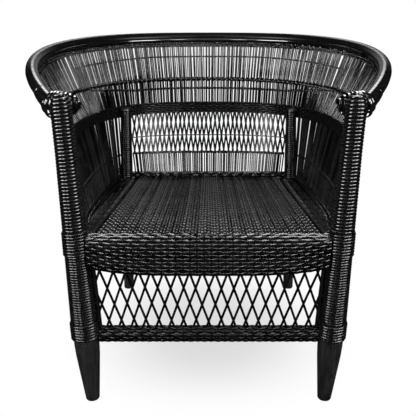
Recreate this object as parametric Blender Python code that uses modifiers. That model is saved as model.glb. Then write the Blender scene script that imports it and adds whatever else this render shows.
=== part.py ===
"""Black cane tub armchair on a pole frame.

Metres, +Z up, the chair faces -Y, the origin is on the floor below the middle of the chair.
Four poles carry a seat frame of round rails.  Three bent hoops and a bent top rail hold the
upright canes of the wall, and flat cane is wound round the posts and woven into the panels.
"""
import math

import bmesh
import bpy
import numpy as np
from mathutils import Matrix, Vector

# Fits
GAP = 0.0003                    # clearance between two pieces that touch
MORTISE_GAP = 0.0003            # clearance round a tenon
HOOP_FIT = 0.0007               # clearance between the ends of canes and a bent hoop
POLE_FACETS = 16                # facets round a pole
SLIM_FACETS = 12                # facets round a bearer
CORE_FACETS = 6                 # facets round the hidden core of the top rail
RAIL_FACETS = 10                # facets round the covered top rail
CANE_FACETS = 8                 # facets round a bent cane
TURN_MERGE = 0.00005            # distance at which a turned seam closes
WELD = 0.00001                  # distance at which a tube's caps weld on
HOOP_SAMPLES = 1441             # places at which a hoop's length is measured
TANGENT_STEP = 0.002            # share of length over which a hoop's direction is read

# Front legs: straight poles that lean outwards, with a dome on top
FRONT_FOOT_HALF = 0.2575        # half the spacing of the feet
FRONT_TOP_HALF = 0.277          # half the spacing of the dome centres
FRONT_LEG_HEIGHT = 0.664
FRONT_FOOT_RADIUS = 0.0148
FRONT_KNEE_RADIUS = 0.0265      # the thickest place, at the lower band
FRONT_KNEE_HEIGHT = 0.125
FRONT_SEAT_RADIUS = 0.0220
FRONT_NECK_RADIUS = 0.0195
FRONT_NECK_HEIGHT = 0.560
DOME_HEIGHT = 0.018
DOME_STEPS = 3
FOOT_TRIM = 0.002               # spare length that is sawn off level with the floor
FLOOR_BLOCK = (2.0, 2.0, 0.1)   # size of the cutter below the floor

# Rear legs: slimmer poles that end at the wide band
REAR_LEG_Y = 0.5524
REAR_FOOT_HALF = 0.2515
REAR_TOP_HALF = 0.2365
REAR_LEG_HEIGHT = 0.566
REAR_FOOT_RADIUS = 0.0145
REAR_LEG_RADIUS = 0.0155
REAR_NECK_RADIUS = 0.0125
REAR_TAPER_HEIGHT = 0.045
REAR_WRAP_STOP = 0.030          # the cane on a rear leg stops this far below its top

# Seat
SEAT_FRONT_Z = 0.391            # top of the weave above the front rail
SEAT_SLOPE = 0.053              # fall of the seat towards the back, per metre
SEAT_HALF = 0.2378              # half the width of the woven middle
SEAT_THICKNESS = 0.006
SEAT_RIPPLE = 0.0008            # height of the ridges that the seat canes make
SEAT_RIDGES = 24
BORDER_FIT = 0.0008             # space between the weave and its flat borders
FRONT_RAIL_RADIUS = 0.016
REAR_RAIL_RADIUS = 0.015
SIDE_RAIL_RADIUS = 0.0115
SIDE_RAIL_INSET = 0.010         # the side rails enter the front legs this far inside their centres
SIDE_RAIL_OUTSET = 0.0056       # and the rear legs this far outside their centres
TENON_RADIUS = 0.0055
TENON_LENGTH = 0.0075
SHOULDER_FIT = 0.0006           # space between a rail's shoulder and its leaning leg
SHOULDER_TAPER = 0.25           # length of a rail's cone, as a share of its radius
BEARER_RADIUS = 0.010
BEARER_COUNT = 2
BEARER_TENON = 0.006            # length of a bearer's tenon inside its rail
BEARER_TENON_RADIUS = 0.006
BEARER_NECK = 0.006             # bare tenon between the rail and the cone
BEARER_CONE = 0.004
BORDER_SEGMENTS = 10

# Lower frame
STRETCHER_Z = 0.1775
STRETCHER_RADIUS = 0.0125
LOWER_BAND_RADIUS = 0.0175

# Flat cane round the posts
CANE_THICKNESS = 0.0024
CANE_CLEAR = 0.0008             # space between two turns of a winding
CANE_FIT = 0.0006               # clearance between a winding and its post
LOOP_POINTS = 10
SLEEVE_RINGS = 4                # cross sections along a binding
REAR_WRAP_RINGS = 3
UPPER_LOOPS = 14
LOWER_LOOPS = 7
CORNER_BINDING_LOW = 0.308
CORNER_BINDING_HIGH = 0.396
BINDING_THICKNESS = 0.003
FOOT_BINDING_LOW = 0.160
FOOT_BINDING_HIGH = 0.195
WRAP_TOP = 0.640
LEAN_FIT = 0.0011               # room between a binding, square to its leaning post, and a winding

# Hoops of the wall: plan half width, half depth and squareness, about one centre
HOOP_CENTRE_Y = 0.280
WALL_HALF_WIDTH = 0.285
WALL_HALF_DEPTH = 0.375
WALL_SQUARENESS = 4.0
WALL_END_Y = 0.0275             # the wall stops this far behind the centres of the front posts
WALL_CORNER_Y = 0.585           # where the sides hand over to the back
ARM_WALL_Y = 0.052              # the canes above the wide band begin here, behind the arm binding
WIDE_BAND_BACK_Z = 0.5525
WIDE_BAND_RISE = 0.0395         # rise of the wide band towards the front posts
WIDE_BAND_LEVEL = 0.35          # share of the way from the back to a post that stays level
WIDE_BAND_POWER = 1.2
WIDE_BAND_SEGMENTS = 40
WIDE_BAND_HEIGHT = 0.033
WIDE_BAND_THICKNESS = 0.009
ARM_HOOP_BACK_Z = 0.635
ARM_HOOP_RISE = 0.026
ARM_HOOP_RADIUS = 0.0062
WALL_THICKNESS = 0.004
STAKE_WIDTH = 0.005
SIDE_STAKES = 12
BACK_STAKES = 12
SIDE_WALL_HEIGHT = 0.15         # flat sizes of the cane nets before they are bent
MID_WALL_HEIGHT = 0.06
FLARE_HEIGHT = 0.10
SEAT_BAND_DEPTH = 0.075
SEAT_BAND_START_Y = 0.048       # the outer seat bands begin behind the side rails' shoulders
SEAT_BAND_RISE = 0.006
SEAT_BAND_THICKNESS = 0.006
SEAT_BAND_SEGMENTS = 12

# Top rail: a circle in plan that dips to the outer sides of the posts
RAIL_RADIUS = 0.0145            # with its wrapping
RAIL_CORE_RADIUS = 0.0120
RAIL_HOOP_RADIUS = 0.3915
RAIL_BACK_Z = 0.7535
RAIL_END_Y = 0.0282
RAIL_DROP = 0.104
RAIL_DROP_POWER = 2.9
RAIL_END_DIP = 0.0245
RAIL_DIP_START = 100.0          # degrees from the middle of the back
END_BINDING_HEIGHT = 0.030
END_BINDING_LEVEL = 0.6275
END_BINDING_POINTS = 16

# Back between the rear legs
BACK_HALF = 0.236
BACK_ROW_Z = 0.4275
BACK_ROW_RADIUS = 0.0045
BACK_ROW_SEGMENTS = 8
BACK_ROW_FIT = 0.0006           # space between the row and the canes that it binds
BACK_LEAN_FIT = 0.0012          # room for the edges of the leaning back panels
REAR_APRON_LOW = 0.300
REAR_APRON_HIGH = 0.374
BACK_DIAMONDS = 10
BACK_DIAMOND_ROWS = 2
BACK_SPINDLES = 14

# Aprons and front lattice
APRON_THICKNESS = 0.006
APRON_LOW = 0.309
APRON_ARCH = 0.017              # rise of its lower edge at the posts
APRON_ARCH_POWER = 4
APRON_COLUMNS = 8
APRON_ROWS = 16
APRON_RIPPLE = 0.0006
SIDE_APRON_LOW = 0.243
SIDE_APRON_X = 0.231
FRONT_DIAMONDS = 14
FRONT_DIAMOND_ROWS = 2
LATTICE_CANE = 0.0046
LATTICE_THICKNESS = 0.004
EDGE_STAKE_RADIUS = 0.004

# Middle of the chair's depth, behind the front legs
DEPTH_BACK = HOOP_CENTRE_Y + RAIL_HOOP_RADIUS + RAIL_RADIUS * math.cos(math.pi / RAIL_FACETS)
DEPTH_FRONT = FRONT_KNEE_RADIUS + GAP + BINDING_THICKNESS
DEPTH_MIDDLE = (DEPTH_BACK - DEPTH_FRONT) / 2.0

BLACK_POLE = ("black_painted_pole", (0.014, 0.013, 0.012), 0.38)
BLACK_CANE = ("black_painted_cane", (0.010, 0.010, 0.010), 0.28)
BLACK_WEAVE = ("black_painted_weave", (0.012, 0.012, 0.012), 0.34)


def clear_scene():
    """Empty the scene and make the collections for the parts and the cutters."""
    for item in list(bpy.data.objects):
        bpy.data.objects.remove(item, do_unlink=True)
    groups = []
    for title in ("cane_armchair", "cutters"):
        group = bpy.data.collections.new(title)
        bpy.context.scene.collection.children.link(group)
        groups.append(group)
    return groups


PARTS, CUTTERS = clear_scene()


def finish(node, look):
    """Give a part its material and put it in the parts' collection."""
    title, colour, roughness = look
    material = bpy.data.materials.new(node.name + "_" + title)
    material.use_nodes = True
    shader = material.node_tree.nodes["Principled BSDF"]
    shader.inputs["Base Color"].default_value = (*colour, 1.0)
    shader.inputs["Roughness"].default_value = roughness
    shader.inputs["Metallic"].default_value = 0.0
    node.data.materials.append(material)
    PARTS.objects.link(node)
    return node


def hide_guide(node):
    """Mark a cutter or a guide, which is not a part."""
    node.hide_render = True
    node.display_type = "WIRE"
    CUTTERS.objects.link(node)
    return node


def cut(node, cutter):
    """Subtract a cutter from a part."""
    boolean = node.modifiers.new("cut_" + cutter.name, "BOOLEAN")
    boolean.operation = "DIFFERENCE"
    boolean.object = cutter


def axis_matrix(start, end):
    """Placement whose local Z runs from start to end."""
    turn = (Vector(end) - Vector(start)).to_track_quat("Z", "Y")
    return Matrix.Translation(start) @ turn.to_matrix().to_4x4()


def turned(name, profile, start, end, closed=False, steps=POLE_FACETS):
    """A profile of (radius, height) points, from the bottom up, turned about start-end."""
    mesh = bpy.data.meshes.new(name)
    points = [(radius, 0.0, height) for radius, height in reversed(profile)]
    edges = [(i, i + 1) for i in range(len(points) - 1)]
    if closed:
        edges.append((len(points) - 1, 0))
    mesh.from_pydata(points, edges, [])
    node = bpy.data.objects.new(name, mesh)
    screw = node.modifiers.new("turn", "SCREW")
    screw.axis = "Z"
    screw.angle = 2.0 * math.pi
    screw.steps = steps
    screw.render_steps = steps
    screw.use_merge_vertices = True
    screw.merge_threshold = TURN_MERGE
    screw.use_smooth_shade = True
    node.matrix_world = axis_matrix(start, end)
    return node


def sleeve(name, radius_at, low, high, thickness, axis_at, rings=SLEEVE_RINGS):
    """A binding of even thickness round a tapering pole, between two heights."""
    heights = [low + (high - low) * i / (rings - 1) for i in range(rings)]
    inner = [(radius_at(h) + GAP, h - low) for h in heights]
    outer = [(radius_at(h) + GAP + thickness, h - low) for h in heights]
    return turned(name, inner[::-1] + outer, axis_at(low), axis_at(high), True)


def drill(name, start, end, radius, steps=POLE_FACETS):
    """A round cutter from start to end."""
    length = (Vector(end) - Vector(start)).length
    profile = [(0.0, 0.0), (radius, 0.0), (radius, length), (0.0, length)]
    return hide_guide(turned(name, profile, start, end, False, steps))


def tube(name, points, radius, sides=CANE_FACETS):
    """A round cane or hoop along points, with closed ends."""
    curve = bpy.data.curves.new(name, "CURVE")
    curve.dimensions = "3D"
    curve.bevel_depth = radius
    curve.bevel_resolution = (sides - 4) // 2
    curve.use_fill_caps = True
    spline = curve.splines.new("POLY")
    spline.points.add(len(points) - 1)
    for point, place in zip(spline.points, points):
        point.co = (*place, 1.0)
    return bpy.data.objects.new(name, curve)


def welded_mesh(name, source):
    """A curve object as a closed mesh with its caps welded on, ready for a cut."""
    bpy.context.scene.collection.objects.link(source)
    bpy.context.view_layer.update()
    evaluated = source.evaluated_get(bpy.context.evaluated_depsgraph_get())
    mesh = bpy.data.meshes.new_from_object(evaluated)
    bpy.data.objects.remove(source, do_unlink=True)
    welded = bmesh.new()
    welded.from_mesh(mesh)
    bmesh.ops.remove_doubles(welded, verts=welded.verts, dist=WELD)
    bmesh.ops.recalc_face_normals(welded, faces=welded.faces)
    welded.to_mesh(mesh)
    welded.free()
    return bpy.data.objects.new(name, mesh)


def grid(columns, rows, width, height):
    """A flat grid from the corner (0, 0) to (width, height)."""
    flat = bmesh.new()
    bmesh.ops.create_grid(flat, x_segments=columns, y_segments=rows, size=0.5)
    for vertex in flat.verts:
        vertex.co = ((vertex.co.x + 0.5) * width, (vertex.co.y + 0.5) * height, 0.0)
    return flat


def open_cells(flat, cane_width):
    """Leave only canes of the given width along the edges of the flat cells."""
    cells = list(flat.faces)
    bmesh.ops.inset_individual(flat, faces=cells, thickness=cane_width / 2.0, use_even_offset=True)
    bmesh.ops.delete(flat, geom=cells, context="FACES")


def diamonds(columns, rows, width, height):
    """A flat field of diamonds with half diamonds along its borders."""
    flat = grid(columns, rows, width, height)
    straight = [edge for edge in flat.edges if len(edge.link_faces) == 2]
    bmesh.ops.poke(flat, faces=list(flat.faces))
    bmesh.ops.dissolve_edges(flat, edges=straight, use_verts=False)
    return flat


def bent_sheet(name, flat, width, height, surface, thickness):
    """Lay a flat sheet on a surface and give it its thickness."""
    for vertex in flat.verts:
        vertex.co = surface(vertex.co.x / width, vertex.co.y / height)
    mesh = bpy.data.meshes.new(name)
    flat.to_mesh(mesh)
    flat.free()
    node = bpy.data.objects.new(name, mesh)
    solidify = node.modifiers.new("thickness", "SOLIDIFY")
    solidify.thickness = thickness
    solidify.offset = 0.0
    return node


def net_panel(name, columns, rows, size, surface, cane_width, thickness):
    """Upright canes with cross rows, on a surface."""
    flat = grid(columns, rows, *size)
    open_cells(flat, cane_width)
    return finish(bent_sheet(name, flat, *size, surface, thickness), BLACK_CANE)


def lattice_panel(name, columns, rows, size, surface, cane_width, thickness):
    """Crossing slanted canes, on a surface."""
    flat = diamonds(columns, rows, *size)
    open_cells(flat, cane_width)
    return finish(bent_sheet(name, flat, *size, surface, thickness), BLACK_CANE)


def woven_sheet(name, columns, rows, surface, thickness):
    """A close weave, as a whole sheet on a surface."""
    flat = grid(columns, rows, 1.0, 1.0)
    return finish(bent_sheet(name, flat, 1.0, 1.0, surface, thickness), BLACK_WEAVE)


def mix(a, b, share):
    return a + (b - a) * share


def seat_z(y):
    """Height of the top of the seat."""
    return SEAT_FRONT_Z - SEAT_SLOPE * y


class Leg:
    """A leaning pole: its centre line and its radius at each height."""

    def __init__(self, side, y, foot_half, top_half, height, profile):
        self.side = side
        self.y = y
        self.foot_half = foot_half
        self.top_half = top_half
        self.height = height
        self.profile = profile

    def centre(self, z):
        half = mix(self.foot_half, self.top_half, z / self.height)
        return Vector((self.side * half, self.y, z))

    def radius(self, z):
        radii, heights = zip(*self.profile)
        return float(np.interp(z, heights, radii))


def front_profile():
    shoulder = FRONT_LEG_HEIGHT - DOME_HEIGHT
    foot = [(FRONT_FOOT_RADIUS, 0.0), (FRONT_KNEE_RADIUS, FRONT_KNEE_HEIGHT)]
    shaft = [(FRONT_KNEE_RADIUS, FOOT_BINDING_HIGH), (FRONT_SEAT_RADIUS, SEAT_FRONT_Z),
             (FRONT_NECK_RADIUS, FRONT_NECK_HEIGHT), (FRONT_NECK_RADIUS, shoulder)]
    dome = []
    for step in range(1, DOME_STEPS):
        angle = math.pi / 2.0 * step / DOME_STEPS
        dome.append((FRONT_NECK_RADIUS * math.cos(angle), shoulder + DOME_HEIGHT * math.sin(angle)))
    return foot + shaft + dome


def rear_profile():
    return [(REAR_FOOT_RADIUS, 0.0), (REAR_LEG_RADIUS, REAR_TAPER_HEIGHT),
            (REAR_LEG_RADIUS, seat_z(REAR_LEG_Y)), (REAR_NECK_RADIUS, REAR_LEG_HEIGHT)]


SIDES = (("left", -1.0), ("right", 1.0))
FRONT = {name: Leg(side, 0.0, FRONT_FOOT_HALF, FRONT_TOP_HALF, FRONT_LEG_HEIGHT, front_profile())
         for name, side in SIDES}
REAR = {name: Leg(side, REAR_LEG_Y, REAR_FOOT_HALF, REAR_TOP_HALF, REAR_LEG_HEIGHT, rear_profile())
        for name, side in SIDES}


class Hoop:
    """A bent cane from one front post round the back to the other, read by its share of length."""

    def __init__(self, half_width, half_depth, squareness, end_y, level):
        self.level = level
        reach = (HOOP_CENTRE_Y - end_y) / half_depth
        last = math.pi - math.acos(reach ** (squareness / 2.0))
        angles = np.linspace(-last, last, HOOP_SAMPLES)
        power = 2.0 / squareness
        self.angle = np.degrees(angles)
        self.x = half_width * np.sign(angles) * np.abs(np.sin(angles)) ** power
        cosine = np.cos(angles)
        self.y = HOOP_CENTRE_Y + half_depth * np.sign(cosine) * np.abs(cosine) ** power
        steps = np.hypot(np.diff(self.x), np.diff(self.y))
        self.share = np.concatenate(([0.0], np.cumsum(steps)))
        self.length = self.share[-1]
        self.share /= self.length

    def plan(self, share):
        x = float(np.interp(share, self.share, self.x))
        y = float(np.interp(share, self.share, self.y))
        return x, y

    def turn(self, share):
        return abs(float(np.interp(share, self.share, self.angle)))

    def at(self, share):
        x, y = self.plan(share)
        return Vector((x, y, self.level(self, share)))

    def share_at_y(self, y):
        """Share of length on the left side where the hoop passes y."""
        half = len(self.share) // 2 + 1
        return float(np.interp(y, self.y[:half], self.share[:half]))

    def points(self, shares):
        return [self.at(share) for share in shares]


def sideways(share):
    """0 at the middle of the back, 1 at a front post."""
    return abs(2.0 * share - 1.0)


def wide_band_level(hoop, share):
    forward = max(0.0, (sideways(share) - WIDE_BAND_LEVEL) / (1.0 - WIDE_BAND_LEVEL))
    return WIDE_BAND_BACK_Z + WIDE_BAND_RISE * forward ** WIDE_BAND_POWER


def arm_hoop_level(hoop, share):
    return ARM_HOOP_BACK_Z + ARM_HOOP_RISE * sideways(share) ** 2


def rail_level(hoop, share):
    turn = hoop.turn(share)
    last = hoop.angle[-1]
    dip = max(0.0, (turn - RAIL_DIP_START) / (last - RAIL_DIP_START))
    return RAIL_BACK_Z - RAIL_DROP * (turn / last) ** RAIL_DROP_POWER - RAIL_END_DIP * dip ** 2


def seat_band_level(hoop, share):
    return seat_z(hoop.plan(share)[1]) + SEAT_BAND_RISE


WALL_PLAN = (WALL_HALF_WIDTH, WALL_HALF_DEPTH, WALL_SQUARENESS, WALL_END_Y)
WIDE_BAND = Hoop(*WALL_PLAN, wide_band_level)
ARM_HOOP = Hoop(*WALL_PLAN, arm_hoop_level)
SEAT_BAND = Hoop(*WALL_PLAN, seat_band_level)
RAIL = Hoop(RAIL_HOOP_RADIUS, RAIL_HOOP_RADIUS, 2.0, RAIL_END_Y, rail_level)
CORNER = WIDE_BAND.share_at_y(WALL_CORNER_Y)
ARM_START = WIDE_BAND.share_at_y(ARM_WALL_Y)
UP = Vector((0.0, 0.0, 1.0))


def wall_stretches():
    """Left side, back and right side of the wall above the wide band, with their cane counts."""
    joint = GAP / WIDE_BAND.length
    return (("left", ARM_START, CORNER - joint, SIDE_STAKES),
            ("back", CORNER + joint, 1.0 - CORNER - joint, BACK_STAKES),
            ("right", 1.0 - CORNER + joint, 1.0 - ARM_START, SIDE_STAKES))


def wall_shares():
    """Places along a hoop where canes stand, and its two ends."""
    shares = [0.0, ARM_START / 2.0]
    for name, start, end, stakes in wall_stretches():
        first = 1 if name == "back" else 0
        last = stakes if name == "back" else stakes + 1
        shares += [mix(start, end, i / stakes) for i in range(first, last)]
    return shares + [1.0 - ARM_START / 2.0, 1.0]


def build_legs():
    """The four poles, each cut level with the floor and mortised for its rails."""
    floor = hide_guide(bpy.data.objects.new("floor_cut", bpy.data.meshes.new("floor_cut")))
    block = bmesh.new()
    bmesh.ops.create_cube(block, size=1.0)
    bmesh.ops.scale(block, verts=block.verts, vec=FLOOR_BLOCK)
    bmesh.ops.translate(block, verts=block.verts, vec=(0.0, REAR_LEG_Y / 2.0, -FLOOR_BLOCK[2] / 2.0))
    block.to_mesh(floor.data)
    block.free()
    nodes = {}
    for title, legs in (("front_leg", FRONT), ("rear_leg", REAR)):
        for name, leg in legs.items():
            foot = leg.profile[0][0]
            profile = [(0.0, -FOOT_TRIM), (foot, -FOOT_TRIM)] + leg.profile[1:] + [(0.0, leg.height)]
            node = turned(f"{title}_{name}", profile, leg.centre(0.0), leg.centre(leg.height))
            finish(node, BLACK_POLE)
            cut(node, floor)
            nodes[node.name] = node
    return nodes


def rail_between(name, leg_a, node_a, leg_b, node_b, z_a, z_b, radius, offsets=(0.0, 0.0)):
    """A round rail with a tenon at each end, and the mortises for it in two legs."""
    ends = []
    for leg, z, outward in ((leg_a, z_a, offsets[0]), (leg_b, z_b, offsets[1])):
        ends.append(leg.centre(z) + Vector((leg.side * outward, 0.0, 0.0)))
    along = (ends[1] - ends[0]).normalized()
    reach_a = math.sqrt(leg_a.radius(z_a) ** 2 - offsets[0] ** 2)
    reach_b = math.sqrt(leg_b.radius(z_b) ** 2 - offsets[1] ** 2)
    tip_a = ends[0] + along * (reach_a - TENON_LENGTH)
    tip_b = ends[1] - along * (reach_b - TENON_LENGTH)
    length = (tip_b - tip_a).length
    bulge = max(leg_a.radius(z_a) - reach_a, leg_b.radius(z_b) - reach_b)
    neck = TENON_LENGTH + SHOULDER_FIT + bulge
    shoulder = neck + radius * SHOULDER_TAPER
    profile = [(0.0, 0.0), (TENON_RADIUS, 0.0), (TENON_RADIUS, neck), (radius, shoulder),
               (radius, length - shoulder), (TENON_RADIUS, length - neck),
               (TENON_RADIUS, length), (0.0, length)]
    node = finish(turned(name, profile, tip_a, tip_b), BLACK_POLE)
    hole = TENON_RADIUS + MORTISE_GAP
    flare = along * (TENON_LENGTH + hole)
    for tag, leg_node, tip, way in (("a", node_a, tip_a, 1.0), ("b", node_b, tip_b, -1.0)):
        bottom = tip - along * way * MORTISE_GAP
        cut(leg_node, drill(f"{name}_mortise_{tag}", bottom, tip + flare * way, hole))
    return node


def build_frame(legs):
    """Seat rails, bearers under the seat and the front stretcher."""
    front_z = SEAT_FRONT_Z - SEAT_THICKNESS - SEAT_RIPPLE - GAP - FRONT_RAIL_RADIUS
    rear_z = seat_z(REAR_LEG_Y) - SEAT_THICKNESS - SEAT_RIPPLE - GAP - REAR_RAIL_RADIUS
    side_front = SEAT_FRONT_Z - SEAT_THICKNESS - SEAT_RIPPLE - GAP - SIDE_RAIL_RADIUS
    side_rear = seat_z(REAR_LEG_Y) - SEAT_THICKNESS - SEAT_RIPPLE - GAP - SIDE_RAIL_RADIUS
    front = (FRONT["left"], legs["front_leg_left"], FRONT["right"], legs["front_leg_right"])
    rear = (REAR["left"], legs["rear_leg_left"], REAR["right"], legs["rear_leg_right"])
    rail_between("front_seat_rail", *front, front_z, front_z, FRONT_RAIL_RADIUS)
    rail_between("rear_seat_rail", *rear, rear_z, rear_z, REAR_RAIL_RADIUS)
    rail_between("front_stretcher", *front, STRETCHER_Z, STRETCHER_Z, STRETCHER_RADIUS)
    side_nodes = {}
    for name, _ in SIDES:
        pair = (FRONT[name], legs[f"front_leg_{name}"], REAR[name], legs[f"rear_leg_{name}"])
        side_nodes[name] = rail_between(f"side_seat_rail_{name}", *pair, side_front, side_rear,
                                        SIDE_RAIL_RADIUS, (-SIDE_RAIL_INSET, SIDE_RAIL_OUTSET))
    for index in range(BEARER_COUNT):
        build_bearer(index, side_nodes, side_front, side_rear)


def build_bearer(index, side_nodes, side_front, side_rear):
    """A pole from side rail to side rail that stops the seat from sagging."""
    share = (index + 1) / (BEARER_COUNT + 1)
    y = REAR_LEG_Y * share
    z = seat_z(y) - SEAT_THICKNESS - SEAT_RIPPLE - GAP - BEARER_RADIUS
    rail_z = mix(side_front, side_rear, share)
    front = FRONT["right"].centre(side_front).x
    rear = REAR["right"].centre(side_rear).x
    half = mix(front - SIDE_RAIL_INSET, rear + SIDE_RAIL_OUTSET, share)
    face = half - math.sqrt(SIDE_RAIL_RADIUS ** 2 - (rail_z - z) ** 2)
    tip = face + BEARER_TENON
    tenon = BEARER_TENON_RADIUS
    length = 2.0 * tip
    neck = BEARER_TENON + BEARER_NECK
    shoulder = neck + BEARER_CONE
    profile = [(0.0, 0.0), (tenon, 0.0), (tenon, neck), (BEARER_RADIUS, shoulder),
               (BEARER_RADIUS, length - shoulder), (tenon, length - neck),
               (tenon, length), (0.0, length)]
    name = f"seat_bearer_{index + 1}"
    finish(turned(name, profile, (-tip, y, z), (tip, y, z), False, SLIM_FACETS), BLACK_POLE)
    for side_name, side in SIDES:
        start = (side * (tip + MORTISE_GAP), y, z)
        end = (side * (face - shoulder), y, z)
        socket = drill(f"{name}_socket_{side_name}", start, end, tenon + MORTISE_GAP, SLIM_FACETS)
        cut(side_nodes[side_name], socket)


def winding_radius(leg, z):
    """Outer radius of a winding on a post."""
    return (leg.radius(z) + CANE_FIT) / math.cos(math.pi / LOOP_POINTS) + CANE_THICKNESS


def winding(name, leg, low, high, loops):
    """Flat cane wound round a post in one unbroken piece."""
    pitch = (high - low) / loops
    width = pitch - CANE_CLEAR
    count = int((loops - width / pitch) * LOOP_POINTS) + 1
    points = []
    for i in range(count):
        turn = 2.0 * math.pi * i / LOOP_POINTS
        z = low + width / 2.0 + pitch * i / LOOP_POINTS
        out = winding_radius(leg, z - width / 2.0) - CANE_THICKNESS / 2.0
        points.append(leg.centre(z) + Vector((math.cos(turn), leg.side * math.sin(turn), 0.0)) * out)
    gaps = [(points[i + LOOP_POINTS] - points[i]).length - width for i in range(count - LOOP_POINTS)]
    print(name, "least gap between turns", round(min(gaps) * 1000.0, 2), "mm")
    outline = [(-0.5, -0.5), (0.5, -0.5), (0.5, 0.5), (-0.5, 0.5)]
    shape = bpy.data.curves.new(name + "_section", "CURVE")
    ring = shape.splines.new("POLY")
    ring.points.add(len(outline) - 1)
    for point, (across, along) in zip(ring.points, outline):
        point.co = (across * CANE_THICKNESS, along * width, 0.0, 1.0)
    ring.use_cyclic_u = True
    guide = hide_guide(bpy.data.objects.new(name + "_section", shape))
    path = tube(name + "_path", points, 0.0)
    path.data.bevel_mode = "OBJECT"
    path.data.bevel_object = guide
    path.data.twist_mode = "Z_UP"
    return finish(welded_mesh(name, path), BLACK_CANE)


def build_post_cane():
    """Windings and bindings round the posts."""
    for name, _ in SIDES:
        leg = FRONT[name]
        winding(f"front_post_wrap_upper_{name}", leg, CORNER_BINDING_HIGH + LEAN_FIT, WRAP_TOP,
                UPPER_LOOPS)
        winding(f"front_post_wrap_lower_{name}", leg, FOOT_BINDING_HIGH + LEAN_FIT,
                CORNER_BINDING_LOW - LEAN_FIT, LOWER_LOOPS)
        corner = sleeve(f"corner_binding_{name}", leg.radius, CORNER_BINDING_LOW, CORNER_BINDING_HIGH,
                        BINDING_THICKNESS, leg.centre)
        finish(corner, BLACK_WEAVE)
        cut_round_rail(corner, bpy.data.objects["front_seat_rail"], FRONT_RAIL_RADIUS)
        cut_round_rail(corner, bpy.data.objects[f"side_seat_rail_{name}"], SIDE_RAIL_RADIUS)
        foot = sleeve(f"foot_binding_{name}", leg.radius, FOOT_BINDING_LOW, FOOT_BINDING_HIGH,
                      BINDING_THICKNESS, leg.centre)
        finish(foot, BLACK_WEAVE)
        cut_round_rail(foot, bpy.data.objects["front_stretcher"], STRETCHER_RADIUS)
        back = REAR[name]
        stop = REAR_LEG_HEIGHT - REAR_WRAP_STOP
        finish(sleeve(f"rear_post_wrap_{name}", back.radius, SEAT_FRONT_Z, stop, CANE_THICKNESS,
                      back.centre, REAR_WRAP_RINGS), BLACK_CANE)


def cut_round_rail(node, rail, radius):
    """Open a binding where a rail passes through it."""
    matrix = rail.matrix_world
    length = max(vertex.co.z for vertex in rail.data.vertices)
    start = matrix @ Vector((0.0, 0.0, 0.0))
    end = matrix @ Vector((0.0, 0.0, length))
    cut(node, drill(f"{node.name}_{rail.name}_way", start, end, radius + GAP))


def build_lower_band():
    """The woven band on the front stretcher."""
    left = FRONT["left"]
    reach = left.radius(STRETCHER_Z) + BINDING_THICKNESS + LEAN_FIT
    half = -left.centre(STRETCHER_Z).x - reach
    inner = STRETCHER_RADIUS + GAP
    profile = [(inner, 2.0 * half), (inner, 0.0), (LOWER_BAND_RADIUS, 0.0), (LOWER_BAND_RADIUS, 2.0 * half)]
    start = (-half, 0.0, STRETCHER_Z)
    finish(turned("front_lower_band", profile, start, (half, 0.0, STRETCHER_Z), True), BLACK_WEAVE)


def build_rail():
    """The bent top rail and the cane that covers it."""
    points = RAIL.points(wall_shares())
    finish(tube("top_rail", points, RAIL_CORE_RADIUS, CORE_FACETS), BLACK_POLE)
    outside = tube("top_rail_wrap_path", points, RAIL_RADIUS, RAIL_FACETS)
    cover = finish(welded_mesh("top_rail_wrap", outside), BLACK_CANE)
    first = points[0] + (points[0] - points[1]).normalized() * GAP * 2.0
    last = points[-1] + (points[-1] - points[-2]).normalized() * GAP * 2.0
    longer = [first] + points[1:-1] + [last]
    bore = tube("top_rail_bore_path", longer, RAIL_CORE_RADIUS + GAP, CORE_FACETS)
    cut(cover, hide_guide(welded_mesh("top_rail_bore", bore)))
    way = tube("top_rail_way_path", longer, RAIL_RADIUS + 2.0 * GAP, RAIL_FACETS)
    return hide_guide(welded_mesh("top_rail_way", way))


def end_binding(name, side, rail_way):
    """Cane bound round a front post and the end of the top rail, open where the rail comes in."""
    leg = FRONT[name]
    level = END_BINDING_LEVEL
    rail_end = RAIL.at(0.0 if side < 0.0 else 1.0)
    post = leg.centre(level)
    lean = abs(leg.centre(level + END_BINDING_HEIGHT / 2.0).x - post.x)
    post_radius = winding_radius(leg, level) + lean
    rings = []
    for extra in (BINDING_THICKNESS + GAP, GAP):
        ring = []
        for centre, radius in ((post, post_radius), (rail_end, RAIL_RADIUS)):
            for i in range(END_BINDING_POINTS):
                turn = 2.0 * math.pi * i / END_BINDING_POINTS
                out = (radius + extra) / math.cos(math.pi / END_BINDING_POINTS)
                ring.append(Vector((centre.x + math.cos(turn) * out, centre.y + math.sin(turn) * out, 0.0)))
        rings.append(hull_outline(ring))
    curve = bpy.data.curves.new(f"arm_end_binding_{name}", "CURVE")
    curve.dimensions = "2D"
    curve.fill_mode = "BOTH"
    curve.extrude = END_BINDING_HEIGHT / 2.0
    for ring in rings:
        spline = curve.splines.new("POLY")
        spline.points.add(len(ring) - 1)
        for point, place in zip(spline.points, ring):
            point.co = (place.x - post.x, place.y - post.y, 0.0, 1.0)
        spline.use_cyclic_u = True
    flat_ring = bpy.data.objects.new(f"arm_end_binding_{name}_outline", curve)
    node = welded_mesh(f"arm_end_binding_{name}", flat_ring)
    node.location = (post.x, post.y, level)
    cut(node, rail_way)
    return finish(node, BLACK_CANE)


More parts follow.
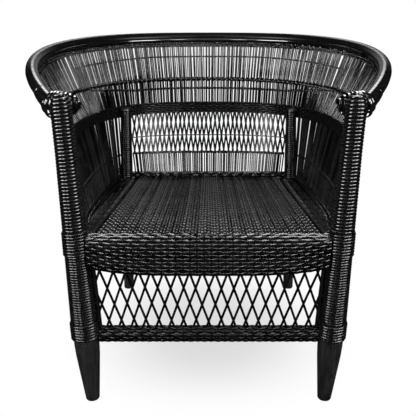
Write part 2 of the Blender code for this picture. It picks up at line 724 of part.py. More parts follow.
def hull_outline(points):
    """Convex outline of flat points, in order."""
    flat = sorted({(round(p.x, 7), round(p.y, 7)) for p in points})
    outline = []
    for run in (flat, flat[::-1]):
        side = []
        for x, y in run:
            while len(side) > 1 and (side[-1][0] - side[-2][0]) * (y - side[-2][1]) \
                    <= (side[-1][1] - side[-2][1]) * (x - side[-2][0]):
                side.pop()
            side.append((x, y))
        outline += side[:-1]
    return [Vector((x, y, 0.0)) for x, y in outline]


def span(low, high, start, end):
    """A ruled surface between two curves that are read by share of length."""
    def surface(across, up):
        share = mix(start, end, across)
        return low(share).lerp(high(share), up)
    return surface


def band(hoop, below, above):
    """Two curves at fixed heights under and over a hoop."""
    return (lambda s: hoop.at(s) - UP * below), (lambda s: hoop.at(s) + UP * above)


def step_off(hoop, share, way, radius):
    """Step along a slanting cane that takes it off the skin of a round hoop."""
    tangent = (hoop.at(share + TANGENT_STEP) - hoop.at(share - TANGENT_STEP)).normalized()
    across = way - tangent * way.dot(tangent)
    return way * (radius + HOOP_FIT) / across.length


def flare_foot(share):
    """Lower end of the flared canes, on the arm hoop."""
    start, end = ARM_HOOP.at(share), RAIL.at(share)
    return start + step_off(ARM_HOOP, share, (end - start).normalized(), ARM_HOOP_RADIUS)


def flare_head(share):
    """Upper end of the flared canes, under the top rail."""
    start, end = ARM_HOOP.at(share), RAIL.at(share)
    return end - step_off(RAIL, share, (end - start).normalized(), RAIL_RADIUS)


def build_wall():
    """Hoops, bands and upright canes from the seat to the top rail."""
    finish(tube("arm_hoop", ARM_HOOP.points(wall_shares()), ARM_HOOP_RADIUS), BLACK_CANE)
    half = WIDE_BAND_HEIGHT / 2.0
    woven_sheet("wide_band", WIDE_BAND_SEGMENTS, 1, span(*band(WIDE_BAND, half, half), 0.0, 1.0),
                WIDE_BAND_THICKNESS)
    for name, start, end, stakes in wall_stretches():
        length = WIDE_BAND.length * (end - start)
        over_band = lambda s: WIDE_BAND.at(s) + UP * (half + HOOP_FIT)
        under_hoop = lambda s: ARM_HOOP.at(s) - UP * (ARM_HOOP_RADIUS + GAP)
        net_panel(f"mid_wall_{name}", stakes, 1, (length, MID_WALL_HEIGHT),
                  span(over_band, under_hoop, start, end), STAKE_WIDTH, WALL_THICKNESS)
        net_panel(f"flared_wall_{name}", stakes, 2, (length, FLARE_HEIGHT),
                  span(flare_foot, flare_head, start, end), STAKE_WIDTH, WALL_THICKNESS)
    for name, start, end in (("left", 0.0, CORNER), ("right", 1.0 - CORNER, 1.0)):
        length = WIDE_BAND.length * (end - start)
        over_seat = lambda s: SEAT_BAND.at(s) + UP * HOOP_FIT
        under_band = lambda s: WIDE_BAND.at(s) - UP * (half + HOOP_FIT)
        net_panel(f"side_wall_{name}", SIDE_STAKES, 2, (length, SIDE_WALL_HEIGHT),
                  span(over_seat, under_band, start, end), STAKE_WIDTH, WALL_THICKNESS)
        begin = SEAT_BAND.share_at_y(SEAT_BAND_START_Y)
        stop = SEAT_BAND.share_at_y(REAR_LEG_Y - REAR_LEG_RADIUS)
        ends = (begin, stop) if name == "left" else (1.0 - stop, 1.0 - begin)
        woven_sheet(f"side_seat_band_{name}", SEAT_BAND_SEGMENTS, 1,
                    span(*band(SEAT_BAND, SEAT_BAND_DEPTH, 0.0), *ends), SEAT_BAND_THICKNESS)


def wall_back_y(x):
    """Depth of the wall's plan at x, behind the seat."""
    inside = 1.0 - (abs(x) / WALL_HALF_WIDTH) ** WALL_SQUARENESS
    return HOOP_CENTRE_Y + WALL_HALF_DEPTH * inside ** (1.0 / WALL_SQUARENESS)


def build_back():
    """The back between the rear legs: apron, spindles, a row and the lattice."""
    apron_y = REAR_LEG_Y + REAR_LEG_RADIUS + GAP + APRON_THICKNESS / 2.0
    top_z = WIDE_BAND_BACK_Z - WIDE_BAND_HEIGHT / 2.0 - BACK_LEAN_FIT

    def back_point(across, z):
        x = mix(-BACK_HALF, BACK_HALF, across)
        rise = (z - REAR_APRON_HIGH) / (top_z - REAR_APRON_HIGH)
        return Vector((x, mix(apron_y, wall_back_y(x), max(0.0, rise)), z))

    def strip(low, high):
        return lambda across, up: back_point(across, mix(low, high, up))

    clear = BACK_ROW_RADIUS + BACK_ROW_FIT
    woven_sheet("rear_apron", 2, 1, strip(REAR_APRON_LOW, REAR_APRON_HIGH), APRON_THICKNESS)
    low = REAR_APRON_HIGH + BACK_LEAN_FIT
    net_panel("back_spindles", BACK_SPINDLES, 1, (2.0 * BACK_HALF, BACK_ROW_Z - clear - low),
              strip(low, BACK_ROW_Z - clear), STAKE_WIDTH, WALL_THICKNESS)
    row = [back_point(i / BACK_ROW_SEGMENTS, BACK_ROW_Z) for i in range(BACK_ROW_SEGMENTS + 1)]
    finish(tube("back_row", row, BACK_ROW_RADIUS), BLACK_CANE)
    low = BACK_ROW_Z + clear
    lattice_panel("back_lattice", BACK_DIAMONDS, BACK_DIAMOND_ROWS, (2.0 * BACK_HALF, top_z - low),
                  strip(low, top_z), LATTICE_CANE, LATTICE_THICKNESS)


def build_seat():
    """The woven seat, its borders, and the aprons that hang from it."""
    back = REAR_LEG_Y + REAR_LEG_RADIUS - GAP

    def seat(across, along):
        y = mix(2.0 * GAP, back, along)
        ridge = SEAT_RIPPLE * (1.0 if round(across * 2 * SEAT_RIDGES) % 2 else -1.0)
        return Vector((mix(-SEAT_HALF, SEAT_HALF, across), y, seat_z(y) - SEAT_THICKNESS / 2.0 + ridge))

    weave = woven_sheet("seat_weave", 2 * SEAT_RIDGES, 2, seat, SEAT_THICKNESS - SEAT_RIPPLE)
    for name, side in SIDES:
        leg = REAR[name]
        ends = (leg.centre(0.0), leg.centre(leg.height))
        cut(weave, drill(f"seat_notch_{name}", *ends, REAR_LEG_RADIUS + 2.0 * GAP))
        build_seat_side(name, side)

    rail_z = SEAT_FRONT_Z - SEAT_THICKNESS - SEAT_RIPPLE - GAP - FRONT_RAIL_RADIUS
    roll = FRONT_RAIL_RADIUS + GAP + APRON_RIPPLE + APRON_THICKNESS / 2.0
    arc = roll * math.pi / 2.0

    def apron(across, down):
        side = 2.0 * across - 1.0
        low = APRON_LOW + APRON_ARCH * side ** APRON_ARCH_POWER
        travel = down * (arc + rail_z - low)
        ripple = APRON_RIPPLE * (1.0 if round(down * APRON_ROWS) % 2 else -1.0)
        if travel < arc:
            turn = travel / roll
            y, z = -(roll + ripple) * math.sin(turn), rail_z + (roll + ripple) * math.cos(turn)
        else:
            y, z = -(roll + ripple), rail_z - (travel - arc)
        return Vector((side * post_face(z, BINDING_THICKNESS), y, z))

    woven_sheet("front_apron", APRON_COLUMNS, APRON_ROWS, apron, APRON_THICKNESS)


def post_face(z, cover):
    """Half the clear width between the front posts and their cover at a height."""
    leg = FRONT["right"]
    return leg.centre(z).x - leg.radius(z) - cover - 3.0 * GAP


def build_seat_side(name, side):
    """The flat cane border and the side apron of one side."""
    start = FRONT_SEAT_RADIUS + BINDING_THICKNESS + 4.0 * GAP
    end = REAR_LEG_Y - REAR_LEG_RADIUS - CANE_THICKNESS - 2.0 * GAP

    def border(across, along):
        y = mix(start, end, along)
        back = abs(y - HOOP_CENTRE_Y) / WALL_HALF_DEPTH
        wall = WALL_HALF_WIDTH * (1.0 - back ** WALL_SQUARENESS) ** (1.0 / WALL_SQUARENESS)
        outer = wall - SEAT_BAND_THICKNESS / 2.0 - 2.0 * GAP
        inner = SEAT_HALF + BORDER_FIT
        return Vector((side * mix(inner, outer, across), y, seat_z(y) - SEAT_THICKNESS / 2.0))

    def apron(across, along):
        y = mix(start, end, along)
        top = seat_z(y) - SEAT_THICKNESS - SEAT_RIPPLE - GAP
        return Vector((side * SIDE_APRON_X, y, mix(SIDE_APRON_LOW, top, across)))

    woven_sheet(f"seat_border_{name}", 1, BORDER_SEGMENTS, border, SEAT_THICKNESS)
    panel = woven_sheet(f"side_apron_{name}", 1, 2, apron, APRON_THICKNESS)
    for index in range(BEARER_COUNT):
        bearer = bpy.data.objects[f"seat_bearer_{index + 1}"]
        cut_round_rail(panel, bearer, BEARER_RADIUS)


def build_front_lattice():
    """The open lattice between the apron and the lower band, with its border canes."""
    low = STRETCHER_Z + LOWER_BAND_RADIUS + GAP
    rail_z = SEAT_FRONT_Z - SEAT_THICKNESS - SEAT_RIPPLE - GAP - FRONT_RAIL_RADIUS
    high = rail_z - FRONT_RAIL_RADIUS - GAP
    leg = FRONT["right"]

    def clear_half(z):
        cover = winding_radius(leg, z) - leg.radius(z)
        return post_face(z, max(cover, BINDING_THICKNESS))

    inner = 2.0 * EDGE_STAKE_RADIUS + GAP

    def surface(across, up):
        z = mix(low, high, up)
        return Vector(((2.0 * across - 1.0) * (clear_half(z) - inner), 0.0, z))

    lattice_panel("front_lattice", FRONT_DIAMONDS, FRONT_DIAMOND_ROWS,
                  (2.0 * (clear_half(low) - inner), high - low), surface, LATTICE_CANE, LATTICE_THICKNESS)
    for name, side in SIDES:
        points = []
        for z in (low, mix(low, high, 0.5), high):
            points.append((side * (clear_half(z) - EDGE_STAKE_RADIUS), 0.0, z))
        finish(tube(f"lattice_edge_cane_{name}", points, EDGE_STAKE_RADIUS), BLACK_CANE)


def centre_on_origin():
    """Move everything so that the origin lies below the middle of the chair."""
    for group in (PARTS, CUTTERS):
        for item in group.objects:
            item.location.y -= DEPTH_MIDDLE


def main():
    legs = build_legs()
    build_frame(legs)
    build_post_cane()
    build_lower_band()
    rail_way = build_rail()
    for name, side in SIDES:
        end_binding(name, side, rail_way)
    build_wall()
    build_back()
    build_seat()
    build_front_lattice()
    centre_on_origin()


main()
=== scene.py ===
"""Black cane tub armchair: painted poles, wound posts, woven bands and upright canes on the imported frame.

Metres, +Z up, the chair faces -Y. Posts, rails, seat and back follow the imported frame. The arm hoop, the
side walls, the wide band and the side aprons follow the photo where the frame departs from it.
"""
import math
import random

import bmesh
import bpy
import numpy as np
from bpy.props import FloatProperty, FloatVectorProperty, IntProperty, PointerProperty
from bpy.types import Operator, Panel, PropertyGroup
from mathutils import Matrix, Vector


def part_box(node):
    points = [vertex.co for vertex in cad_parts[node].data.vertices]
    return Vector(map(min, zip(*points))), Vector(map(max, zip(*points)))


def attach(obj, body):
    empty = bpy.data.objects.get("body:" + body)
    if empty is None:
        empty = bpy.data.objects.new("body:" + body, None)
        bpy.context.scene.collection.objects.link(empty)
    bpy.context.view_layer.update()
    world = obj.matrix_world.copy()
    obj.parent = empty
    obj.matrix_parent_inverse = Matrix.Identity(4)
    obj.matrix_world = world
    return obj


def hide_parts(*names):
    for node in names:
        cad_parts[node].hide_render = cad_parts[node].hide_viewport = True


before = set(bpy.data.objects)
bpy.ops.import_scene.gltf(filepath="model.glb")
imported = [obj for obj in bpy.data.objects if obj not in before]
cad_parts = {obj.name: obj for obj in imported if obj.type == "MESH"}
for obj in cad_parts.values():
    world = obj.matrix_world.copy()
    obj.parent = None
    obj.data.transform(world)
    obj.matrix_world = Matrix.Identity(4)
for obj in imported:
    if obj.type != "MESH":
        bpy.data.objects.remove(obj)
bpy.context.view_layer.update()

bl_info = {
    "name": "Cane tub armchair",
    "version": (1, 0, 0),
    "blender": (4, 5, 0),
    "location": "3D View > Sidebar > Cane chair",
    "description": "Weaves, winds and paints a black cane tub armchair on its frame",
    "category": "Object",
}

SIDES = (("left", -1.0), ("right", 1.0))
UP = Vector((0.0, 0.0, 1.0))
ALONG_X = Vector((1.0, 0.0, 0.0))
ALONG_Y = Vector((0.0, 1.0, 0.0))

# Legs and rails
FRONT_Y = sum(corner.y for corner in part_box("front_leg_left")) / 2.0
CENTRE_Y = FRONT_Y + 0.280
REAR_FOOT_Y = FRONT_Y + 0.5524
REAR_TOP_Y = FRONT_Y + 0.5350
REAR_Y = FRONT_Y + 0.5413
REAR_RAIL_Z = 0.3396
RAIL_Z = 0.3675
STRETCHER_Z = 0.1625

# Bindings and windings of the posts
CORNER_LOW, CORNER_HIGH = 0.348, 0.398
FOOT_LOW, FOOT_HIGH = 0.157, 0.195
REAR_WRAP_LOW, REAR_WRAP_HIGH = 0.364, 0.562
WINDING_TOP_Z = 0.669
DOME_CLOSES = 0.029             # height over which the winding closes on a dome

# Seat
SEAT_FRONT_Z = 0.391
SEAT_SLOPE = 0.053
SEAT_FRONT_HALF = 0.2300
SEAT_NARROWS = 0.0420           # loss of half width per metre of depth

# Walls
WALL_HALF_WIDTH = 0.3095
WALL_HALF_DEPTH = 0.375
WALL_SQUARENESS = 2.6
WALL_END_Y = FRONT_Y + 0.0275
ARM_WALL_Y = FRONT_Y + 0.052
ARM_BACK_Z, ARM_FALL = 0.6355, 0.0315
WIDE_BAND_Z, WIDE_BAND_RISE = 0.5525, 0.007
WIDE_BAND_HALF = 0.0165
WALL_CORNER = 0.322             # share of the wall's length at the rear legs
UNDER_ARM_JOIN = 0.28           # the thin row rises to the arm hoop from this share sideways to twice it

# Top rail
RAIL_HOOP_RADIUS = 0.3915
RAIL_END_Y = FRONT_Y + 0.0282
RAIL_BACK_Z, RAIL_FALL, RAIL_DIP = 0.7535, 0.104, 0.0045
RAIL_DIP_TURN = 100.0           # degrees from the back at which the end of the rail starts to dip

# Back panel
BACK_ROW_Z = 0.4275
BACK_LOW_Z, BACK_TOP_Z = 0.374, 0.535
BACK_LOW_HALF, BACK_TOP_HALF = 0.2180, 0.2340
BACK_APRON_Y = FRONT_Y + 0.5620


def mix(a, b, share):
    return a + (b - a) * share


def spaced(first, last, number):
    """Evenly spaced values from first to last."""
    return [mix(first, last, i / (number - 1)) for i in range(number)]


def clipped(value):
    """A value kept between 0 and 1."""
    return min(1.0, max(0.0, value))


def both(title):
    """The names of a left and a right node."""
    return [f"{title}_{name}" for name, side in SIDES]


def shifted(lines, step):
    """The same lines, moved by one step."""
    return [[place + step for place in points] for points in lines]


def longest(lines):
    return max(sum((b - a).length for a, b in zip(points, points[1:])) for points in lines)


class Post:
    """A leaning pole: its centre line and its radius at each height."""

    def __init__(self, side, foot, top, height, profile):
        self.foot = Vector((side * foot[0], foot[1], 0.0))
        self.top = Vector((side * top[0], top[1], height))
        self.height = height
        self.heights, self.radii = zip(*profile)

    def centre(self, z):
        return self.foot.lerp(self.top, z / self.height)

    def radius(self, z):
        return float(np.interp(z, self.heights, self.radii))


# Heights and radii of the poles
FRONT_PROFILE = ((0.0, 0.0148), (0.125, 0.0265), (0.195, 0.0265), (0.391, 0.0220), (0.560, 0.0183),
                 (0.641, 0.0180))
REAR_PROFILE = ((0.0, 0.0145), (0.045, 0.0155), (0.362, 0.0155), (0.566, 0.0125))
SHOULDER_Z, SHOULDER_RADIUS = FRONT_PROFILE[-1]
REAR_TOP_Z, REAR_TOP_RADIUS = REAR_PROFILE[-1]
FRONT = {name: Post(side, (0.2575, FRONT_Y), (0.277, FRONT_Y), 0.664, FRONT_PROFILE) for name, side in SIDES}
REAR = {name: Post(side, (0.2516, REAR_FOOT_Y), (0.2336, REAR_TOP_Y), REAR_TOP_Z, REAR_PROFILE)
        for name, side in SIDES}


def between_posts(z, gap):
    """Half the clear width between the front posts at a height, less a gap."""
    post = FRONT["right"]
    return post.centre(z).x - post.radius(z) - gap


def seat_z(y):
    """Height of the top of the seat at a depth."""
    return SEAT_FRONT_Z - SEAT_SLOPE * (y - FRONT_Y)


def seat_half(y):
    """Half the width of the woven middle of the seat at a depth."""
    return SEAT_FRONT_HALF - SEAT_NARROWS * (y - FRONT_Y)


class Hoop:
    """A bent line from one front post round the back to the other, read by its share of length."""

    def __init__(self, half_width, half_depth, squareness, end_y, level, centre_y=CENTRE_Y):
        self.level = level
        reach = (centre_y - end_y) / half_depth
        last = math.pi - math.acos(reach ** (squareness / 2.0))
        angles = np.linspace(-last, last, 1441)
        power = 2.0 / squareness
        self.angle = np.degrees(angles)
        self.x = half_width * np.sign(angles) * np.abs(np.sin(angles)) ** power
        cosine = np.cos(angles)
        self.y = centre_y + half_depth * np.sign(cosine) * np.abs(cosine) ** power
        steps = np.hypot(np.diff(self.x), np.diff(self.y))
        self.share = np.concatenate(([0.0], np.cumsum(steps)))
        self.length = float(self.share[-1])
        self.share /= self.length

    def plan(self, share):
        return float(np.interp(share, self.share, self.x)), float(np.interp(share, self.share, self.y))

    def turn(self, share):
        return abs(float(np.interp(share, self.share, self.angle)))

    def at(self, share):
        x, y = self.plan(share)
        return Vector((x, y, self.level(self, share)))

    def points(self, first, last, number, lift=0.0):
        return [self.at(share) + UP * lift for share in spaced(first, last, number)]

    def share_at_y(self, y):
        """Share of length on the left side where the hoop passes a depth."""
        half = len(self.share) // 2 + 1
        return float(np.interp(y, self.y[:half], self.share[:half]))


def sideways(share):
    """0 at the middle of the back, 1 at a front post."""
    return abs(2.0 * share - 1.0)


def wide_band_level(hoop, share):
    return WIDE_BAND_Z + WIDE_BAND_RISE * sideways(share) ** 2


def arm_level(hoop, share):
    return ARM_BACK_Z - ARM_FALL * sideways(share) ** 2.6


def rail_level(hoop, share):
    turn = hoop.turn(share)
    last = hoop.angle[-1]
    dip = max(0.0, (turn - RAIL_DIP_TURN) / (last - RAIL_DIP_TURN))
    return RAIL_BACK_Z - RAIL_FALL * (turn / last) ** 2.9 - RAIL_DIP * dip ** 2


def seat_level(hoop, share):
    return seat_z(hoop.plan(share)[1])


# Half width, half depth and squareness of each hoop
WIDE_BAND = Hoop(WALL_HALF_WIDTH, WALL_HALF_DEPTH, WALL_SQUARENESS, WALL_END_Y, wide_band_level)
ARM_HOOP = Hoop(0.3435, 0.380, 2.15, WALL_END_Y, arm_level)
FOOT_LINE = Hoop(0.2735, 0.3535, 4.2, WALL_END_Y, seat_level, CENTRE_Y + 0.017)
SEAT_BAND = Hoop(0.279, WALL_HALF_DEPTH, 8.0, WALL_END_Y, seat_level)
RAIL = Hoop(RAIL_HOOP_RADIUS, RAIL_HOOP_RADIUS, 2.0, RAIL_END_Y, rail_level)
ARM_START = WIDE_BAND.share_at_y(ARM_WALL_Y)
SIDE_SPANS = (("left", 0.0, WALL_CORNER), ("right", 1.0 - WALL_CORNER, 1.0))


def flare_point(share, up):
    """A point on the flared wall between the arm hoop and the top rail."""
    return ARM_HOOP.at(share).lerp(RAIL.at(share), up)


def under_arm_point(share):
    """A point on the thin row under the arm hoop, which joins it at the sides."""
    join = clipped((sideways(share) - UNDER_ARM_JOIN) / UNDER_ARM_JOIN)
    return WIDE_BAND.at(share).lerp(ARM_HOOP.at(share), mix(0.68, 1.0, join))


def low_rows(up):
    """Rows across the leaning lower walls at a share of the way from the seat to the wide band."""
    return [[FOOT_LINE.at(share).lerp(WIDE_BAND.at(share), up) for share in spaced(start, end, 60)]
            for name, start, end in SIDE_SPANS]


def back_half(z):
    """Half the width of the back panel between the rear legs at a height."""
    return mix(BACK_LOW_HALF, BACK_TOP_HALF, (z - BACK_LOW_Z) / (BACK_TOP_Z - BACK_LOW_Z))


def back_point(across, z):
    """A point on the leaning back panel, at a share of its half width."""
    x = across * back_half(z)
    inside = 1.0 - (abs(x) / WALL_HALF_WIDTH) ** WALL_SQUARENESS
    wall_y = CENTRE_Y + WALL_HALF_DEPTH * inside ** (1.0 / WALL_SQUARENESS)
    rise = max(0.0, (z - BACK_LOW_Z) / (BACK_TOP_Z - BACK_LOW_Z))
    return Vector((x, mix(BACK_APRON_Y, wall_y, rise), z))


def back_line(z, number):
    """A level line across the back panel."""
    return [back_point(across, z) for across in spaced(-1.0, 1.0, number)]


def length(text, size):
    return FloatProperty(description=text, default=size, min=0.0, precision=4, subtype="DISTANCE",
                         unit="LENGTH")


def count(text, number):
    return IntProperty(description=text, default=number, min=1)


def colour(text, value):
    return FloatVectorProperty(description=text, default=value, size=3, min=0.0, max=1.0, subtype="COLOR")


def amount(text, value):
    return FloatProperty(description=text, default=value)


class PoleSizes(PropertyGroup):
    """Sizes of the turned poles."""
    facets: count("Facets round a pole", 40)
    foot_edge: length("Rounding at the bottom of a foot", 0.0025)
    dome_height: length("Height of the rounded top of a front pole", 0.026)
    rear_rail: length("Thickness of the rear seat rail", 0.0300)


class WindingSizes(PropertyGroup):
    """Sizes of the cane wound round posts and rail."""
    post_pitch: length("Rise of the winding in one turn round a front post", 0.0070)
    low_pitch: length("Rise of the winding in one turn below the seat", 0.0056)
    rear_pitch: length("Rise of the winding in one turn round a rear post", 0.0062)
    rail_pitch: length("Advance of the winding in one turn round the top rail", 0.0078)
    rail_radius: length("Radius of the top rail at the middle of its winding", 0.0140)
    rail_strip: length("Thickness of the flat cane round the top rail", 0.0008)
    thickness: length("Thickness of the flat cane", 0.0028)
    liner: length("Thickness of the smooth cane along the inside of the top rail", 0.0110)
    binding_gauge: length("Thickness of the cane round the corners and feet", 0.0054)
    binding_pitch: length("Rise of a corner or foot binding in one turn", 0.0064)
    unevenness: length("How far a turn strays from an even winding", 0.0005)


class WallSizes(PropertyGroup):
    """Sizes of the wall of upright canes."""
    canes: count("Upright canes round the whole wall", 390)
    gauge: length("Thickness of an upright cane", 0.0036)
    stray: amount("How far a cane strays sideways, as a share of its spacing", 0.30)
    back_start: amount("Share of the wall's length at which its back starts", 0.26)
    side_share: amount("Canes at the sides, as a share of those at the back", 0.56)
    side_stray: amount("Stray of the canes at the sides", 0.75)
    side_gauge: length("Thickness of an upright cane at the sides", 0.0050)
    thin_row: length("Thickness of one strand of a thin twined row", 0.0030)
    arm_row: length("Thickness of one strand of the arm hoop", 0.0070)
    band_rows: count("Woven rows in the wide band", 6)


class WeaveSizes(PropertyGroup):
    """Sizes of the woven seat, aprons and bands."""
    strand: length("Thickness of one strand of a twined row", 0.0042)
    twist: length("Length of one full twist of a twined row", 0.0260)
    row_pitch: length("Spacing of the woven rows of an apron", 0.0075)
    seat_rows: count("Rows across the seat, a high and a low one in each ridge", 69)
    seat_ridge: length("Height of a high row of the seat above a low one", 0.0018)
    seat_strand: length("Thickness of one strand of the seat", 0.0032)
    seat_width: length("Width of one strand of the seat", 0.0066)
    seat_wave: length("Length of one wave of a seat strand", 0.0200)
    seat_depth: length("How far a seat strand passes up and down", 0.0014)
    strip: length("Thickness of a flat woven cane", 0.0032)
    wave: length("Length of one wave of an apron's flat cane", 0.0290)
    band_wave: length("Length of one wave of the wide band's flat cane", 0.0220)
    wave_depth: length("How far a flat cane passes in and out", 0.0021)
    pad_strips: count("Flat strips across the pad on each side of the seat", 11)
    pad_width: length("Width of the pad on each side of the seat", 0.0410)
    pad_crown: length("Height of the pad's crown above its edges", 0.0065)
    lattice_gauge: length("Thickness of a lattice cane", 0.0053)
    front_cell: length("Width of a diamond of the front lattice", 0.0264)
    back_cell: length("Width of a diamond of the back lattice", 0.0132)


class PaintColours(PropertyGroup):
    """Colours of the black paint."""
    deep: colour("Paint in full coat", (0.0009, 0.0009, 0.0008))
    thin: colour("Paint where it is thin or rubbed", (0.0065, 0.0063, 0.0060))
    timber: colour("Paint on the bare poles", (0.0150, 0.0147, 0.0142))
    # The seat's light tone is partly paint rubbed by use and partly a painted sheen standing in for light
    # from the room behind
    rubbed: colour("Paint that use has rubbed, on the seat", (0.0560, 0.0551, 0.0535))
    gloss: amount("Roughness of the paint where it is smooth", 0.03)
    dull: amount("Roughness of the paint where it is rubbed", 0.12)
    shine: amount("Strength of the paint's reflections, as a specular level", 0.50)


class StageSettings(PropertyGroup):
    """Camera, floor and lamps."""
    lens: amount("Focal length in millimetres on a 36 mm sensor", 48.46)
    distance: length("Camera's distance in front of the front feet", 1.0547)
    height: length("Camera's height above the floor", 0.7914)
    pitch: amount("Camera's tilt down, in degrees", 18.19)
    floor_tone: colour("Colour of the floor", (0.93, 0.93, 0.93))
    floor_lift: amount("Share of white in the floor under the chair, as seen", 0.55)
    ambient: amount("Light from all round", 0.95)
    front_reflection: amount("Brightness of the room in front, in the paint", 0.008)
    front_card: amount("Power of each card in front, aimed at a post", 1.2)
    back_card: amount("Power of each card above and behind the arms", 1.7)
    back_reflection: amount("Brightness of the room behind, in the paint", 0.90)
    floor_reflection: amount("Brightness of the floor, in the paint", 0.03)
    side_card: amount("Power of each side card, which only shows in the paint, in watts", 60.0)
    top_card: amount("Power of the overhead card, which only shows in the paint, in watts", 12.0)
    top_lamp: amount("Power of the overhead lamp in watts", 14.0)


class ChairSettings(PropertyGroup):
    """All settings of the chair."""
    poles: PointerProperty(type=PoleSizes)
    windings: PointerProperty(type=WindingSizes)
    wall: PointerProperty(type=WallSizes)
    weave: PointerProperty(type=WeaveSizes)
    paint: PointerProperty(type=PaintColours)
    stage: PointerProperty(type=StageSettings)


class Nodes:
    """A node tree, with short calls for its nodes."""

    def __init__(self, tree):
        self.tree = tree
        self.nodes = tree.nodes

    @staticmethod
    def find(sockets, key):
        """A socket by its identifier, or else by its name or number."""
        for socket in sockets:
            if socket.identifier == key:
                return socket
        return sockets[key]

    def set(self, node, key, value):
        """Link or fix one input of a node."""
        socket = self.find(node.inputs, key)
        if isinstance(value, bpy.types.NodeSocket):
            self.tree.links.new(value, socket)
        else:
            socket.default_value = value

    def add(self, kind, links=None, **settings):
        """A node with its settings and its linked or fixed inputs."""
        node = self.nodes.new(kind)
        for key, value in settings.items():
            setattr(node, key, value)
        for key, value in (links or {}).items():
            self.set(node, key, value)
        return node

    def maths(self, operation, first, second=0.0):
        return self.add("ShaderNodeMath", {0: first, 1: second}, operation=operation).outputs[0]

    def span(self, factor, low, high, first=0.0, second=1.0, smooth=False):
        """A number that goes from first to second as the factor passes from low to high."""
        links = {"Value": factor, "From Min": low, "From Max": high, "To Min": first, "To Max": second}
        way = "SMOOTHSTEP" if smooth else "LINEAR"
        return self.add("ShaderNodeMapRange", links, interpolation_type=way).outputs[0]


class Tree(Nodes):
    """A geometry tree built node by node, with named inputs."""

    def __init__(self, title):
        super().__init__(bpy.data.node_groups.new(title, "GeometryNodeTree"))
        self.tree.interface.new_socket("Geometry", in_out="OUTPUT", socket_type="NodeSocketGeometry")
        self.entry = self.nodes.new("NodeGroupInput")
        self.exit = self.nodes.new("NodeGroupOutput")
        self.sockets = {}

    def ask(self, kind, *titles):
        """Named inputs of one kind."""
        for title in titles:
            item = self.tree.interface.new_socket(title, in_out="INPUT", socket_type="NodeSocket" + kind)
            self.sockets[title] = item.identifier
        return [self.entry.outputs[title] for title in titles]

    def vector(self, operation, first, second=(0.0, 0.0, 0.0)):
        return self.add("ShaderNodeVectorMath", {0: first, 1: second}, operation=operation).outputs[0]

    def scaled(self, vector, factor):
        return self.add("ShaderNodeVectorMath", {0: vector, "Scale": factor}, operation="SCALE").outputs[0]

    def blended(self, factor, first, second):
        node = self.add("ShaderNodeMix", {"Factor_Float": factor, "A_Vector": first, "B_Vector": second},
                        data_type="VECTOR")
        return self.find(node.outputs, "Result_Vector")

    def random(self, low, high, seed, number=None):
        """A random number for each point, or for each value of a number."""
        node = self.add("FunctionNodeRandomValue", {"Min_001": low, "Max_001": high, "Seed": seed})
        if number is not None:
            self.set(node, "ID", number)
        return self.find(node.outputs, "Value_001")

    def named(self, title):
        return self.add("GeometryNodeInputNamedAttribute", {"Name": title}).outputs[0]

    def stored(self, geometry, title, value):
        return self.add("GeometryNodeStoreNamedAttribute",
                        {"Geometry": geometry, "Name": title, "Value": value}).outputs[0]

    def section(self, sides, width, thickness):
        """The cane's cross section: thickness along the normal, width across it."""
        ring = self.add("GeometryNodeCurvePrimitiveCircle", {"Resolution": sides, "Radius": 0.5}).outputs[0]
        size = self.add("ShaderNodeCombineXYZ", {0: thickness, 1: width, 2: 1.0}).outputs[0]
        oval = self.add("GeometryNodeTransform", {"Geometry": ring, "Scale": size}).outputs[0]
        return self.stored(oval, "around", self.add("GeometryNodeSplineParameter").outputs["Factor"])

    def close(self, geometry, material):
        """Shade, paint and hand over the finished canes."""
        smooth = self.add("GeometryNodeSetShadeSmooth", {"Geometry": geometry}).outputs[0]
        real = self.add("GeometryNodeRealizeInstances", {"Geometry": smooth}).outputs[0]
        painted = self.add("GeometryNodeSetMaterial", {"Geometry": real, "Material": material}).outputs[0]
        self.set(self.exit, 0, painted)
        return self


